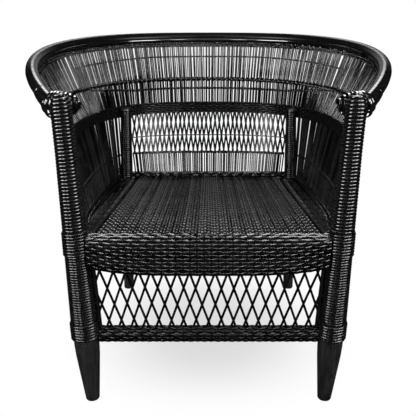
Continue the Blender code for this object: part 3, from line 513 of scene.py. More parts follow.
def strand_tree(title, strands):
    """Strands that wind round guide lines at the guides' own radius, or lie along them at no turns."""
    tree = Tree(title)
    guide, = tree.ask("Object", "Guide")
    points, sides = tree.ask("Int", "Points", "Section Sides")
    turns, start, width, thickness = tree.ask("Float", "Turns", "Start Angle", "Width", "Thickness")
    rise, sway, row_step = tree.ask("Float", "Rise", "Sway", "Row Step")
    roll, face, stray = tree.ask("Float", "Roll", "Face Angle", "Unevenness")
    upright, = tree.ask("Vector", "Reference")
    material, = tree.ask("Material", "Material")
    lines = tree.add("GeometryNodeObjectInfo", {"Object": guide}).outputs["Geometry"]
    path = tree.add("GeometryNodeResampleCurve", {"Curve": lines, "Count": points}).outputs[0]
    tangent = tree.add("GeometryNodeInputTangent").outputs[0]
    across = tree.vector("NORMALIZE", tree.vector("CROSS_PRODUCT", tangent, upright))
    outward = tree.vector("CROSS_PRODUCT", across, tangent)
    along = tree.add("GeometryNodeSplineParameter").outputs["Factor"]
    row = tree.add("GeometryNodeCurveOfPoint").outputs["Curve Index"]
    turned = tree.maths("MULTIPLY", tree.maths("MULTIPLY", along, turns), 2.0 * math.pi)
    turned = tree.maths("ADD", tree.maths("ADD", turned, start), tree.maths("MULTIPLY", row, row_step))
    noise = tree.add("ShaderNodeTexNoise", {"Scale": 90.0, "Detail": 1.0}).outputs[0]
    slip = tree.scaled(tangent, tree.maths("MULTIPLY", tree.maths("SUBTRACT", noise, 0.5), stray))
    reach = tree.add("GeometryNodeInputRadius").outputs[0]
    section = tree.section(sides, width, thickness)
    joined = tree.add("GeometryNodeJoinGeometry")
    for index in range(strands):
        angle = tree.maths("ADD", turned, 2.0 * math.pi * index / strands)
        facing_angle = tree.maths("ADD", tree.maths("MULTIPLY", angle, roll), face)
        radial = tree.vector("ADD", tree.scaled(outward, tree.maths("COSINE", facing_angle)),
                             tree.scaled(across, tree.maths("SINE", facing_angle)))
        capture = tree.add("GeometryNodeCaptureAttribute")
        capture.capture_items.new("VECTOR", "radial")
        tree.set(capture, 0, path)
        tree.set(capture, 1, radial)
        lift = tree.maths("MULTIPLY", tree.maths("COSINE", angle), rise)
        swing = tree.maths("MULTIPLY", tree.maths("SINE", angle), sway)
        bent = tree.vector("ADD", tree.scaled(outward, lift), tree.scaled(across, swing))
        offset = tree.vector("ADD", tree.scaled(bent, reach), slip)
        moved = tree.add("GeometryNodeSetPosition", {"Geometry": capture.outputs[0], "Offset": offset})
        facing = tree.add("GeometryNodeSetCurveNormal", {"Curve": moved.outputs[0]}, mode="FREE")
        tree.set(facing, "Normal", capture.outputs[1])
        reached = tree.add("GeometryNodeSplineParameter").outputs["Length"]
        marked = tree.stored(facing.outputs[0], "along", reached)
        marked = tree.stored(marked, "shade", tree.random(0.0, 1.0, index, row))
        swept = tree.add("GeometryNodeCurveToMesh",
                         {"Curve": marked, "Profile Curve": section, "Fill Caps": True})
        tree.set(joined, 0, swept.outputs[0])
    return tree.close(joined.outputs[0], material)


def upright_tree(title):
    """Canes that stand on a foot line, pass a bend line and end on a head line."""
    tree = Tree(title)
    guides = tree.ask("Object", "Foot", "Bend", "Head")
    number, points, sides, seed = tree.ask("Int", "Canes", "Points", "Section Sides", "Seed")
    bend_at, first, last, stray = tree.ask("Float", "Bend Height", "First", "Last", "Stray")
    width, thickness, vary = tree.ask("Float", "Width", "Thickness", "Gauge Variation")
    material, = tree.ask("Material", "Material")
    index = tree.add("GeometryNodeInputIndex").outputs[0]
    step = tree.maths("DIVIDE", index, tree.maths("SUBTRACT", number, 1.0))
    even = tree.maths("ADD", first, tree.maths("MULTIPLY", step, tree.maths("SUBTRACT", last, first)))
    away = tree.maths("MULTIPLY", stray, -1.0)
    foot_share = tree.maths("ADD", even, tree.random(away, stray, seed))
    head_share = tree.maths("ADD", foot_share, tree.random(away, stray, tree.maths("ADD", seed, 1.0)))
    thinner = tree.maths("SUBTRACT", 1.0, vary)
    gauge = tree.random(thinner, tree.maths("ADD", 1.0, vary), tree.maths("ADD", seed, 2.0))
    spots = tree.add("GeometryNodeMeshLine", {"Count": number, "Offset": (0.0, 0.0, 0.0)}).outputs[0]
    shade = tree.random(0.0, 1.0, tree.maths("ADD", seed, 3.0))
    marks = {"foot_share": foot_share, "head_share": head_share, "gauge": gauge, "shade": shade}
    for mark, value in marks.items():
        spots = tree.stored(spots, mark, value)
    line = tree.add("GeometryNodeCurvePrimitiveLine", {"Start": (0.0, 0.0, 0.0), "End": (0.0, 0.0, 1.0)})
    line = tree.add("GeometryNodeResampleCurve", {"Curve": line.outputs[0], "Count": points}).outputs[0]
    canes = tree.add("GeometryNodeInstanceOnPoints", {"Points": spots, "Instance": line}).outputs[0]
    canes = tree.add("GeometryNodeRealizeInstances", {"Geometry": canes}).outputs[0]
    spot = tree.add("GeometryNodeInputPosition").outputs[0]
    height = tree.add("ShaderNodeSeparateXYZ", {0: spot}).outputs[2]
    shares = (tree.named("foot_share"), tree.named("foot_share"), tree.named("head_share"))
    places = []
    for guide, share in zip(guides, shares):
        lines = tree.add("GeometryNodeObjectInfo", {"Object": guide}).outputs["Geometry"]
        sample = tree.add("GeometryNodeSampleCurve", {"Curves": lines, "Factor": share}, use_all_curves=True)
        places.append(tree.find(sample.outputs, "Position"))
    low = tree.span(height, 0.0, bend_at)
    high = tree.span(height, bend_at, 1.0)
    place = tree.blended(high, tree.blended(low, places[0], places[1]), places[2])
    canes = tree.add("GeometryNodeSetPosition", {"Geometry": canes, "Position": place}).outputs[0]
    canes = tree.add("GeometryNodeSetCurveNormal", {"Curve": canes}, mode="Z_UP").outputs[0]
    canes = tree.stored(canes, "along", tree.add("GeometryNodeSplineParameter").outputs["Length"])
    section = tree.section(sides, width, thickness)
    swept = tree.add("GeometryNodeCurveToMesh", {"Curve": canes, "Profile Curve": section,
                                                 "Scale": tree.named("gauge"), "Fill Caps": True}).outputs[0]
    return tree.close(swept, material)


TREES = {}


def tree_for(kind):
    """The tree for wound cane, a twined pair or upright canes, built once."""
    if kind not in TREES:
        if kind == "upright":
            TREES[kind] = upright_tree("upright_canes")
        else:
            TREES[kind] = strand_tree(f"{kind}_cane", {"wound": 1, "twined": 2}[kind])
    return TREES[kind]


def guide_lines(name, lines, radii=None):
    """A curve object with one line for each list of points, and a winding radius for each point."""
    curve = bpy.data.curves.new(name, "CURVE")
    curve.dimensions = "3D"
    for number, points in enumerate(lines):
        spline = curve.splines.new("POLY")
        spline.points.add(len(points) - 1)
        for index, place in enumerate(points):
            spline.points[index].co = (*place, 1.0)
            spline.points[index].radius = radii[number][index] if radii else 0.0
    guide = bpy.data.objects.new(name, curve)
    bpy.context.scene.collection.objects.link(guide)
    return guide


def settle(piece, nodes):
    """Let a finished piece ride on the frame in place of CAD nodes."""
    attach(piece, "root")
    if nodes:
        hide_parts(*nodes)


def grow(name, kind, values, nodes):
    """Evaluate a tree into a plain mesh and let it ride on the frame."""
    tree = tree_for(kind)
    piece = bpy.data.objects.new(name, bpy.data.meshes.new(name))
    bpy.context.scene.collection.objects.link(piece)
    modifier = piece.modifiers.new("canes", "NODES")
    modifier.node_group = tree.tree
    for title, value in values.items():
        modifier[tree.sockets[title]] = value
    bpy.context.view_layer.update()
    evaluated = piece.evaluated_get(bpy.context.evaluated_depsgraph_get())
    mesh = bpy.data.meshes.new_from_object(evaluated)
    piece.modifiers.clear()
    piece.data = mesh
    mesh.name = name
    if not mesh.polygons:
        raise RuntimeError(f"{name} came out empty")
    for value in values.values():
        if isinstance(value, bpy.types.Object) and value.users_collection:
            for group in list(value.users_collection):
                group.objects.unlink(value)
    settle(piece, nodes)


# Inputs of a strand tree that lays a plain cane along its guide
STRAIGHT = {"Turns": 0.0, "Start Angle": 0.0, "Reference": tuple(UP), "Rise": 1.0, "Sway": 1.0,
            "Row Step": 0.0, "Roll": 1.0, "Face Angle": 0.0, "Unevenness": 0.0}
WEAVE_START = 0.3               # angle at which a twined or woven row starts
TWINE_REACH = 0.46              # distance of a twined strand from the middle, as a share of its thickness
GAUGE_VARIATION = 0.12
ROW_INSET = 0.004               # share of a row's length left free at each end


def strands(name, kind, guide, section, changes, paint, nodes, slot=None):
    """Canes along guide lines: plain and straight, but for the changes."""
    lines, radii, points = guide
    width, thickness, sides = section
    values = {**STRAIGHT, **changes, "Guide": guide_lines(name + "_guide", lines, radii), "Points": points,
              "Width": width, "Thickness": thickness, "Section Sides": sides, "Material": paint_for(paint)}
    grow(name, kind, values, nodes)


def wind(name, lines, radii, turns, section, paint, nodes, per_turn=16, reference=ALONG_Y, stray=0.0):
    """One flat or round cane wound round each guide line."""
    changes = {"Turns": float(turns), "Reference": tuple(reference), "Row Step": 2.4, "Unevenness": stray}
    strands(name, "wound", (lines, radii, turns * per_turn + 1), (*section, 8), changes, paint, nodes)


def twine(name, lines, strand, twist, paint, nodes=(), per_twist=8, sides=5, slot=None):
    """Two strands twisted round each other along each guide line."""
    turns = max(1, round(longest(lines) / twist))
    radii = [[strand * TWINE_REACH] * len(points) for points in lines]
    changes = {"Turns": float(turns), "Start Angle": WEAVE_START, "Row Step": math.pi / 2.0}
    strands(name, "twined", (lines, radii, turns * per_twist + 1), (strand, strand, sides), changes, paint,
            nodes, slot)


def weave_rows(name, lines, section, wave, depth, paint, nodes, level=False, per_wave=8):
    """Flat canes that pass in and out, each row half a wave from the next; level ones go up and down."""
    waves = max(1, round(longest(lines) / wave))
    radii = [[depth] * len(points) for points in lines]
    changes = {"Turns": float(waves), "Start Angle": WEAVE_START, "Row Step": math.pi, "Roll": 0.0}
    if level:
        changes["Sway"] = 0.0
    else:
        changes["Rise"] = 0.0
        changes["Face Angle"] = math.pi / 2.0
    strands(name, "wound", (lines, radii, waves * per_wave + 1), section, changes, paint, nodes)


def sweep(name, lines, gauge, paint, nodes=(), points=12, sides=8, reference=UP, width=None):
    """A plain cane along each guide line."""
    strands(name, "wound", (lines, None, points), (width or gauge, gauge, sides),
            {"Reference": tuple(reference)}, paint, nodes)


def woven_sheet(names, rows, weave, inward, node, fill=1.04, points=5, per_wave=8, sides=6):
    """Close rows of flat cane, and behind them plain canes that fill the gaps."""
    weave_rows(names[0], rows, (weave.row_pitch, weave.strip, sides), weave.wave, weave.wave_depth, "weave",
               (node,), per_wave=per_wave)
    sweep(names[1], shifted(rows, inward), weave.row_pitch * fill, "weave", points=points, sides=6)


def stand(name, lines, bend_at, canes, gauge, stray, paint, nodes, points, first, last, seed):
    """A row of canes from a foot line past a bend line to a head line."""
    values = {"Bend Height": bend_at, "Canes": canes, "Points": points, "First": first, "Last": last,
              "Stray": stray, "Width": gauge, "Thickness": gauge, "Gauge Variation": GAUGE_VARIATION,
              "Section Sides": 5, "Seed": seed, "Material": paint_for(paint)}
    for title, line in zip(("Foot", "Bend", "Head"), lines):
        values[title] = guide_lines(f"{name}_{title.lower()}", [line])
    grow(name, "upright", values, nodes)


class Shader(Nodes):
    """The node tree of a material or world."""

    def __init__(self, owner):
        owner.use_nodes = True
        super().__init__(owner.node_tree)
        self.owner = owner

    def noise(self, spot, scale, detail, roughness=0.5):
        links = {"Vector": spot, "Scale": scale, "Detail": detail, "Roughness": roughness}
        return self.add("ShaderNodeTexNoise", links).outputs[0]

    def attribute(self, title):
        return self.add("ShaderNodeAttribute", attribute_name=title).outputs["Fac"]

    def mixed(self, factor, first, second):
        return self.add("ShaderNodeMix", {"Factor": factor, "A": first, "B": second}).outputs["Result"]

    def mirrored(self, path):
        """1 for a ray that meets this in a reflection."""
        return self.maths("MAXIMUM", path["Is Glossy Ray"], path["Is Transmission Ray"])

    def ramp(self, factor, low, high, first, second):
        """A colour that goes from first to second as the factor passes from low to high."""
        node = self.add("ShaderNodeValToRGB", {"Fac": factor})
        for element, position, tone in zip(node.color_ramp.elements, (low, high), (first, second)):
            element.position = position
            element.color = (*tone, 1.0)
        return node.outputs[0]


def black_paint(title, grain_scale, light, bump, along_cane=True, rubbed=0.0, matt=0.0, sheen=1.0,
                vary=0.28):
    """Black paint over cane or timber: long fibres, rubbed patches, which on the seat also stand for a
    painted sheen, and uneven gloss.
    """
    paint = bpy.context.scene.cane_chair.paint
    shader = Shader(bpy.data.materials.new(title))
    spot = shader.add("ShaderNodeTexCoord").outputs["Object"]
    fibre = spot
    if along_cane:
        places = {0: shader.attribute("along"), 1: shader.attribute("around")}
        fibre = shader.add("ShaderNodeCombineXYZ", places).outputs[0]
    fibre = shader.add("ShaderNodeMapping", {"Vector": fibre, "Scale": grain_scale}).outputs[0]
    grain = shader.noise(fibre, 1.0, 3.0, 0.6)
    patches = shader.maths("MULTIPLY", shader.noise(spot, 55.0, 3.0, 0.55), shader.noise(spot, 9.0, 2.0))
    wear_and_sheen = shader.maths("ADD", patches, grain)
    if along_cane:
        wear_and_sheen = shader.maths("ADD", wear_and_sheen, shader.span(shader.attribute("shade"), 0.0, 1.0, -vary, vary))
    relief = shader.add("ShaderNodeBump", {"Height": grain, "Strength": bump, "Distance": 0.0006})
    inputs = {
        # The mask lightens the colour towards the light tone: rubbed paint, and on the seat a painted sheen
        # as well
        "Base Color": shader.ramp(wear_and_sheen, 0.55, 1.05 - rubbed, paint.deep, getattr(paint, light)),
        "Roughness": shader.span(wear_and_sheen, 0.45, 1.0, paint.gloss + matt, paint.dull + matt),
        "Normal": relief.outputs[0],
        "Specular IOR Level": paint.shine * sheen,
    }
    for key, value in inputs.items():
        shader.set(shader.nodes["Principled BSDF"], key, value)
    return shader.owner


CANE_GRAIN = (26.0, 9.0, 1.0)
WEAVE_GRAIN = (40.0, 7.0, 1.0)

# For each kind of paint: slot, material, grain, light tone, bump, and what else sets it apart
PAINT_KINDS = {
    "pole": ("painted_pole", "black_paint_on_timber", (160.0, 160.0, 9.0), "timber", 0.22,
             {"along_cane": False, "rubbed": 0.10, "matt": 0.40}),
    "cane": ("painted_cane", "black_paint_on_cane", CANE_GRAIN, "thin", 0.18, {}),
    "weave": ("painted_weave", "black_paint_on_weave", WEAVE_GRAIN, "thin", 0.30, {"rubbed": 0.16}),
    "rail": ("painted_cane", "black_paint_on_rail", CANE_GRAIN, "thin", 0.08, {"matt": 0.04, "sheen": 0.20}),
    "liner": ("painted_cane", "bright_paint_on_liner", CANE_GRAIN, "thin", 0.05, {"sheen": 2.0}),
    "upright": ("painted_cane", "uneven_paint_on_uprights", CANE_GRAIN, "timber", 0.18, {"vary": 0.50}),
    "pad": ("painted_weave", "black_paint_on_pads", (90.0, 90.0, 90.0), "thin", 0.12,
            {"along_cane": False, "matt": 0.05, "sheen": 0.6}),
    "band": ("painted_weave", "dull_paint_on_bands", WEAVE_GRAIN, "thin", 0.30,
             {"rubbed": 0.16, "matt": 0.10, "sheen": 0.35}),
    # The seat's paint is partly rubbed and partly a painted sheen
    "seat": ("painted_weave", "seat_paint_with_painted_sheen", (90.0, 7.0, 1.0), "rubbed", 0.40,
             {"rubbed": 0.10, "matt": 0.05, "vary": 0.55}),
}
PAINTS = {}


def paint_for(kind):
    """The paint of one kind, made once."""
    if kind not in PAINTS:
        title, grain, light, bump, rest = PAINT_KINDS[kind][1:]
        PAINTS[kind] = black_paint(title, grain, light, bump, **rest)
    return PAINTS[kind]


def lathe(mesh, centre, profile, facets):
    """Turn a profile of (height, radius) points round a leaning centre line."""
    rings = []
    for z, radius in profile:
        middle = centre(z)
        ring = []
        for step in range(facets):
            angle = 2.0 * math.pi * step / facets
            out = Vector((math.cos(angle), math.sin(angle), 0.0)) * radius
            ring.append(mesh.verts.new((middle.x + out.x, middle.y + out.y, z)))
        rings.append(ring)
    for low, high in zip(rings, rings[1:]):
        for step in range(facets):
            after = (step + 1) % facets
            mesh.faces.new((low[step], low[after], high[after], high[step]))
    mesh.faces.new(rings[0][::-1])
    mesh.faces.new(rings[-1])


def mesh_piece(name, mesh, paint, nodes):
    """A finished bmesh as a piece that rides on the frame."""
    bmesh.ops.recalc_face_normals(mesh, faces=mesh.faces)
    for face in mesh.faces:
        face.smooth = True
    data = bpy.data.meshes.new(name)
    mesh.to_mesh(data)
    mesh.free()
    data.materials.append(paint_for(paint))
    piece = bpy.data.objects.new(name, data)
    bpy.context.scene.collection.objects.link(piece)
    settle(piece, nodes)


class CANE_OT_poles(Operator):
    """Turn the four legs and paint the rails that stay as they are"""
    bl_idname = "cane_chair.poles"
    bl_label = "Poles"

    @staticmethod
    def legs(name, posts, heights, top, sizes, nodes):
        """Two legs with rounded foot edges."""
        mesh = bmesh.new()
        edge = sizes.foot_edge
        for post in posts.values():
            foot = post.radius(0.0)
            profile = [(0.0, foot - edge), (edge * 0.3, foot - edge * 0.3), (edge, post.radius(edge))]
            profile += [(z, post.radius(z)) for z in heights if z > edge]
            lathe(mesh, post.centre, profile + top, sizes.facets)
        mesh_piece(name, mesh, "pole", nodes)

    def execute(self, context):
        sizes = context.scene.cane_chair.poles
        lowest, rounding = 0.01, 0.002
        dome = []
        for step in range(1, 9):
            angle = math.pi / 2.0 * step / 8.5
            z = SHOULDER_Z + sizes.dome_height * math.sin(angle)
            dome.append((z, SHOULDER_RADIUS * math.cos(angle)))
        self.legs("front_poles", FRONT, np.linspace(lowest, SHOULDER_Z, 26), dome, sizes, both("front_leg"))
        top = [(REAR_TOP_Z, REAR_TOP_RADIUS - rounding)]
        self.legs("rear_poles", REAR, np.linspace(lowest, REAR_TOP_Z - rounding, 20), top, sizes,
                  both("rear_leg"))
        ends = [post.centre(REAR_RAIL_Z) for post in REAR.values()]
        sweep("rear_rail_pole", [ends], sizes.rear_rail, "pole", ("rear_seat_rail",), points=2, sides=28)
        for name in ("front_seat_rail", "seat_bearer_1", "seat_bearer_2", *both("side_seat_rail")):
            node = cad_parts[name]
            node.data.materials.clear()
            node.data.materials.append(paint_for("pole"))
        return {"FINISHED"}


class CANE_OT_post_windings(Operator):
    """Wind flat cane round the posts and bind the corners, feet and arm ends"""
    bl_idname = "cane_chair.post_windings"
    bl_label = "Post windings"

    # Behind and inside a post: half width, distance behind the front and height
    END_SPOTS = ((0.3085, 0.0330, 0.6350), (0.2875, 0.0370, 0.6420), (0.2495, 0.0380, 0.6450))
    END_START = 0.470           # share of the rail's length from its middle to where a bound end starts
    END_THIN, END_THICK = 0.0140, 0.0268
    END_TIP = 0.0012
    SWELL_FROM, SWELL_OVER = 0.22, 0.25     # shares of a bound end over which it thickens
    CLOSE_FROM = 0.60                       # and from which it rounds off
    END_TURNS = 13
    END_STRIP = 0.0088
    STRIP_SHARE = 0.97          # width of a flat cane on a post, as a share of its pitch
    REAR_STRIP = 0.85           # thickness of the cane on a rear post, as a share of that on a front one

    def winding(self, name, posts, low, high, pitch, thickness, nodes, stray, paint="cane", dome=False):
        lines, radii = [], []
        for post in posts:
            line, reach = [], []
            for z in np.linspace(low, high, 60):
                radius = post.radius(z)
                rise = (z - SHOULDER_Z) / DOME_CLOSES
                if dome and rise > 0.0:
                    radius *= math.sqrt(max(0.05, 1.0 - rise ** 2))
                line.append(post.centre(z))
                reach.append(radius + thickness * 0.5)
            lines.append(line)
            radii.append(reach)
        turns = round((high - low) / pitch)
        width = (high - low) / turns * self.STRIP_SHARE
        wind(name, lines, radii, turns, (width, thickness), paint, nodes, stray=stray)

    def execute(self, context):
        sizes = context.scene.cane_chair.windings
        pair, rear = list(FRONT.values()), list(REAR.values())
        flat, stray = sizes.thickness, sizes.unevenness
        self.winding("post_winding_upper", pair, CORNER_HIGH, WINDING_TOP_Z, sizes.post_pitch, flat,
                     both("front_post_wrap_upper"), stray, dome=True)
        self.winding("post_winding_lower", pair, FOOT_HIGH, CORNER_LOW, sizes.low_pitch, flat,
                     both("front_post_wrap_lower"), stray)
        spans = {"corner_binding": (CORNER_LOW, CORNER_HIGH), "foot_binding": (FOOT_LOW, FOOT_HIGH)}
        for name, (low, high) in spans.items():
            self.winding(f"{name}s", pair, low, high, sizes.binding_pitch, sizes.binding_gauge, both(name),
                         stray * 2.0, "weave")
        self.winding("rear_post_windings", rear, REAR_WRAP_LOW, REAR_WRAP_HIGH, sizes.rear_pitch,
                     flat * self.REAR_STRIP, both("rear_post_wrap"), stray)
        self.arm_ends(flat)
        return {"FINISHED"}

    def arm_ends(self, flat):
        """The wound ends of the top rail, which pass behind the posts and round off inside them."""
        lines, radii = [], []
        for name, side in SIDES:
            spots = [RAIL.at(0.5 + side * self.END_START)]
            for half, depth, z in self.END_SPOTS:
                spots.append(Vector((side * half, FRONT_Y + depth, z)))
            line, reach = [], []
            for t in spaced(0.0, 1.0, 81):
                weights = ((1 - t) ** 3, 3 * t * (1 - t) ** 2, 3 * t * t * (1 - t), t ** 3)
                line.append(sum((spot * weight for spot, weight in zip(spots, weights)), Vector()))
                swell = clipped((t - self.SWELL_FROM) / self.SWELL_OVER)
                thick = mix(self.END_THIN, self.END_THICK, swell * swell * (3.0 - 2.0 * swell))
                close = max(0.0, (t - self.CLOSE_FROM) / (1.0 - self.CLOSE_FROM))
                reach.append(max(self.END_TIP, thick * math.sqrt(max(0.0, 1.0 - close ** 2))))
            lines.append(line)
            radii.append(reach)
        wind("arm_end_bindings", lines, radii, self.END_TURNS, (self.END_STRIP, flat), "cane",
             both("arm_end_binding"), per_turn=24, reference=UP)


class CANE_OT_top_rail(Operator):
    """Wind the top rail and tie the wall canes to it"""
    bl_idname = "cane_chair.top_rail"
    bl_label = "Top rail"

    OVERLAP = 1.35              # width of the flat cane, as a share of its pitch
    POLE_SHARE = 1.94           # thickness of the pole, as a share of the winding's radius
    TIES_BELOW = (0.0175, 0.0235)
    TIE_STRAND, TIE_TWIST = 0.0040, 0.0150
    LINER_START = 0.19
    LINER_IN, LINER_DOWN = 0.0150, 0.0062

    def execute(self, context):
        sizes = context.scene.cane_chair.windings
        line = RAIL.points(0.0, 1.0, 400)
        turns = round(RAIL.length / sizes.rail_pitch)
        strip = (sizes.rail_pitch * self.OVERLAP, sizes.rail_strip)
        wind("top_rail_winding", [line], [[sizes.rail_radius] * len(line)], turns, strip, "rail",
             ("top_rail_wrap",), reference=UP, stray=sizes.unevenness)
        sweep("rail_pole", [line], sizes.rail_radius * self.POLE_SHARE, "pole", ("top_rail",), points=240,
              sides=20)
        ties = []
        for below in self.TIES_BELOW:
            row = []
            for share in spaced(ARM_START, 1.0 - ARM_START, 300):
                end, start = RAIL.at(share), ARM_HOOP.at(share)
                row.append(end + (start - end).normalized() * below)
            ties.append(row)
        liner = []
        for place in RAIL.points(self.LINER_START, 1.0 - self.LINER_START, 160):
            inward = Vector((-place.x, CENTRE_Y - place.y, 0.0)).normalized()
            liner.append(place + inward * self.LINER_IN - UP * self.LINER_DOWN)
        sweep("rail_liner", [liner], sizes.liner, "liner", points=160, sides=10)
        twine("rail_ties", ties, self.TIE_STRAND, self.TIE_TWIST, "weave", per_twist=7)
        return {"FINISHED"}


class CANE_OT_wall_canes(Operator):
    """Stand the upright canes of the wall"""
    bl_idname = "cane_chair.wall_canes"
    bl_label = "Wall canes"

    TUCK = 0.004                # how far a cane reaches into the wide band
    ARM_SHARE = 0.40            # share of a cane's length below the arm hoop
    FLARE_TOP = 0.95            # share of the flare at which a cane ends, inside the rail's winding
    SEAT_TUCK = 0.006
    EDGE_SHARE = 0.8            # the first cane stands at this share of the arm's start
    SEEDS = {"left": 3, "back": 7, "right": 11}
    SIDE_SEED = 11

    def execute(self, context):
        sizes = context.scene.cane_chair.wall
        lines = (WIDE_BAND.points(0.0, 1.0, 500, WIDE_BAND_HALF - self.TUCK), ARM_HOOP.points(0.0, 1.0, 500),
                 [flare_point(share, self.FLARE_TOP) for share in spaced(0.0, 1.0, 500)])
        edge = ARM_START * self.EDGE_SHARE
        back = sizes.back_start
        side = (sizes.side_share, sizes.side_stray, sizes.side_gauge)
        parts = (("left", edge, back, *side),
                 ("back", back, 1.0 - back, 1.0, sizes.stray, sizes.gauge),
                 ("right", 1.0 - back, 1.0 - edge, *side))
        for name, start, end, share, loose, gauge in parts:
            number = round(sizes.canes * (end - start) * share)
            stand(f"wall_canes_{name}", lines, self.ARM_SHARE, number, gauge, loose / sizes.canes, "upright",
                  (f"mid_wall_{name}", f"flared_wall_{name}"), 9, start, end, self.SEEDS[name])
        number = round(sizes.canes * WALL_CORNER * sizes.side_share)
        loose = sizes.side_stray / sizes.canes / WALL_CORNER
        for name, start, end in SIDE_SPANS:
            foot = FOOT_LINE.points(start, end, 200, -self.SEAT_TUCK)
            head = WIDE_BAND.points(start, end, 200, -WIDE_BAND_HALF + self.TUCK)
            stand(f"side_canes_{name}", (foot, head, head), 1.0, number, sizes.side_gauge, loose, "upright",
                  (f"side_wall_{name}",), 4, ROW_INSET, 1.0 - ROW_INSET, self.SIDE_SEED)
        return {"FINISHED"}


class CANE_OT_wall_rows(Operator):
    """Twine the rows and weave the bands that hold the wall canes"""
    bl_idname = "cane_chair.wall_rows"
    bl_label = "Wall rows"

    ARM_TWIST = 0.030
    BAND_EDGE = 0.0033          # from the edge of the wide band to the middle of its last row
    BAND_WIDTH = 0.0058
    BAND_CORE, BAND_CORE_WIDTH = 0.0064, 0.0030
    UPPER_START, UPPER_UP = 0.235, 0.545
    UPPER_LEVEL, UPPER_FALL = 0.2, 0.22     # the upper thin row falls beyond this share sideways
    UNDER_START, UNDER_SHARE = 0.225, 1.45
    UPPER_TWIST, UNDER_TWIST = 0.014, 0.020
    LOW_ROW_UP, LOW_ROW_GAUGE = 0.345, 0.0062
    FOOT_ROW_UP = 0.012
    INNER_STEP = Vector((0.0080, 0.0, -0.002))
    SEAT_BAND_ROWS = 10
    SEAT_BAND_TOP = 0.0045      # from the seat's height down to the first row of a seat band
    SEAT_BAND_IN = 0.004

    def execute(self, context):
        wall = context.scene.cane_chair.wall
        weave = context.scene.cane_chair.weave
        twine("arm_row", [ARM_HOOP.points(0.0, 1.0, 400)], wall.arm_row, self.ARM_TWIST, "weave",
              ("arm_hoop",), per_twist=12, sides=7, slot="painted_cane")
        edge = WIDE_BAND_HALF - self.BAND_EDGE
        rows = [WIDE_BAND.points(0.0, 1.0, 400, lift) for lift in spaced(-edge, edge, wall.band_rows)]
        weave_rows("wide_band_rows", rows, (self.BAND_WIDTH, weave.strip, 6), weave.band_wave,
                   weave.wave_depth, "band", ("wide_band",))
        sweep("wide_band_cores", rows, self.BAND_CORE, "band", points=120, sides=6,
              width=self.BAND_CORE_WIDTH)
        upper = []
        for share in spaced(self.UPPER_START, 1.0 - self.UPPER_START, 240):
            fall = self.UPPER_FALL * max(0.0, sideways(share) - self.UPPER_LEVEL)
            upper.append(flare_point(share, self.UPPER_UP - fall))
        under = [under_arm_point(share) for share in spaced(self.UNDER_START, 1.0 - self.UNDER_START, 240)]
        twine("thin_row_upper", [upper], wall.thin_row, self.UPPER_TWIST, "cane")
        twine("thin_row_under", [under], wall.thin_row * self.UNDER_SHARE, self.UNDER_TWIST, "cane", sides=6)
        sweep("low_rows", low_rows(self.LOW_ROW_UP), self.LOW_ROW_GAUGE, "cane", points=60)
        foot_rows = low_rows(self.FOOT_ROW_UP)
        for row, (name, side) in zip(foot_rows[:], SIDES):
            foot_rows += shifted([row], self.INNER_STEP * Vector((-side, 1.0, 1.0)))
        twine("wall_foot_rows", foot_rows, weave.strand, weave.twist, "weave")
        self.seat_bands(weave)
        return {"FINISHED"}

    def seat_bands(self, weave):
        """Woven bands outside the seat, bent at the back to meet the rear legs."""
        begin = SEAT_BAND.share_at_y(FRONT_Y + 0.045)
        stop = SEAT_BAND.share_at_y(REAR_Y - 0.016)
        for name, side in SIDES:
            rows = []
            for i in range(self.SEAT_BAND_ROWS):
                drop = -self.SEAT_BAND_TOP - weave.row_pitch * i
                if name == "left":
                    row = SEAT_BAND.points(begin, stop, 80, drop)
                    rows.append(row + self.rear_bend(side, row[-1].z))
                else:
                    row = SEAT_BAND.points(1.0 - stop, 1.0 - begin, 80, drop)
                    rows.append(self.rear_bend(side, row[0].z)[::-1] + row)
            woven_sheet((f"seat_band_{name}", f"seat_band_{name}_cores"), rows, weave,
                        ALONG_X * (-side * self.SEAT_BAND_IN), f"side_seat_band_{name}", points=40)

    @staticmethod
    def rear_bend(side, z):
        """The last two points of a row, by half width and by depth from the rear legs."""
        ends = ((0.272, -0.006), (0.262, 0.002))
        return [Vector((side * half, REAR_Y + depth, z)) for half, depth in ends]


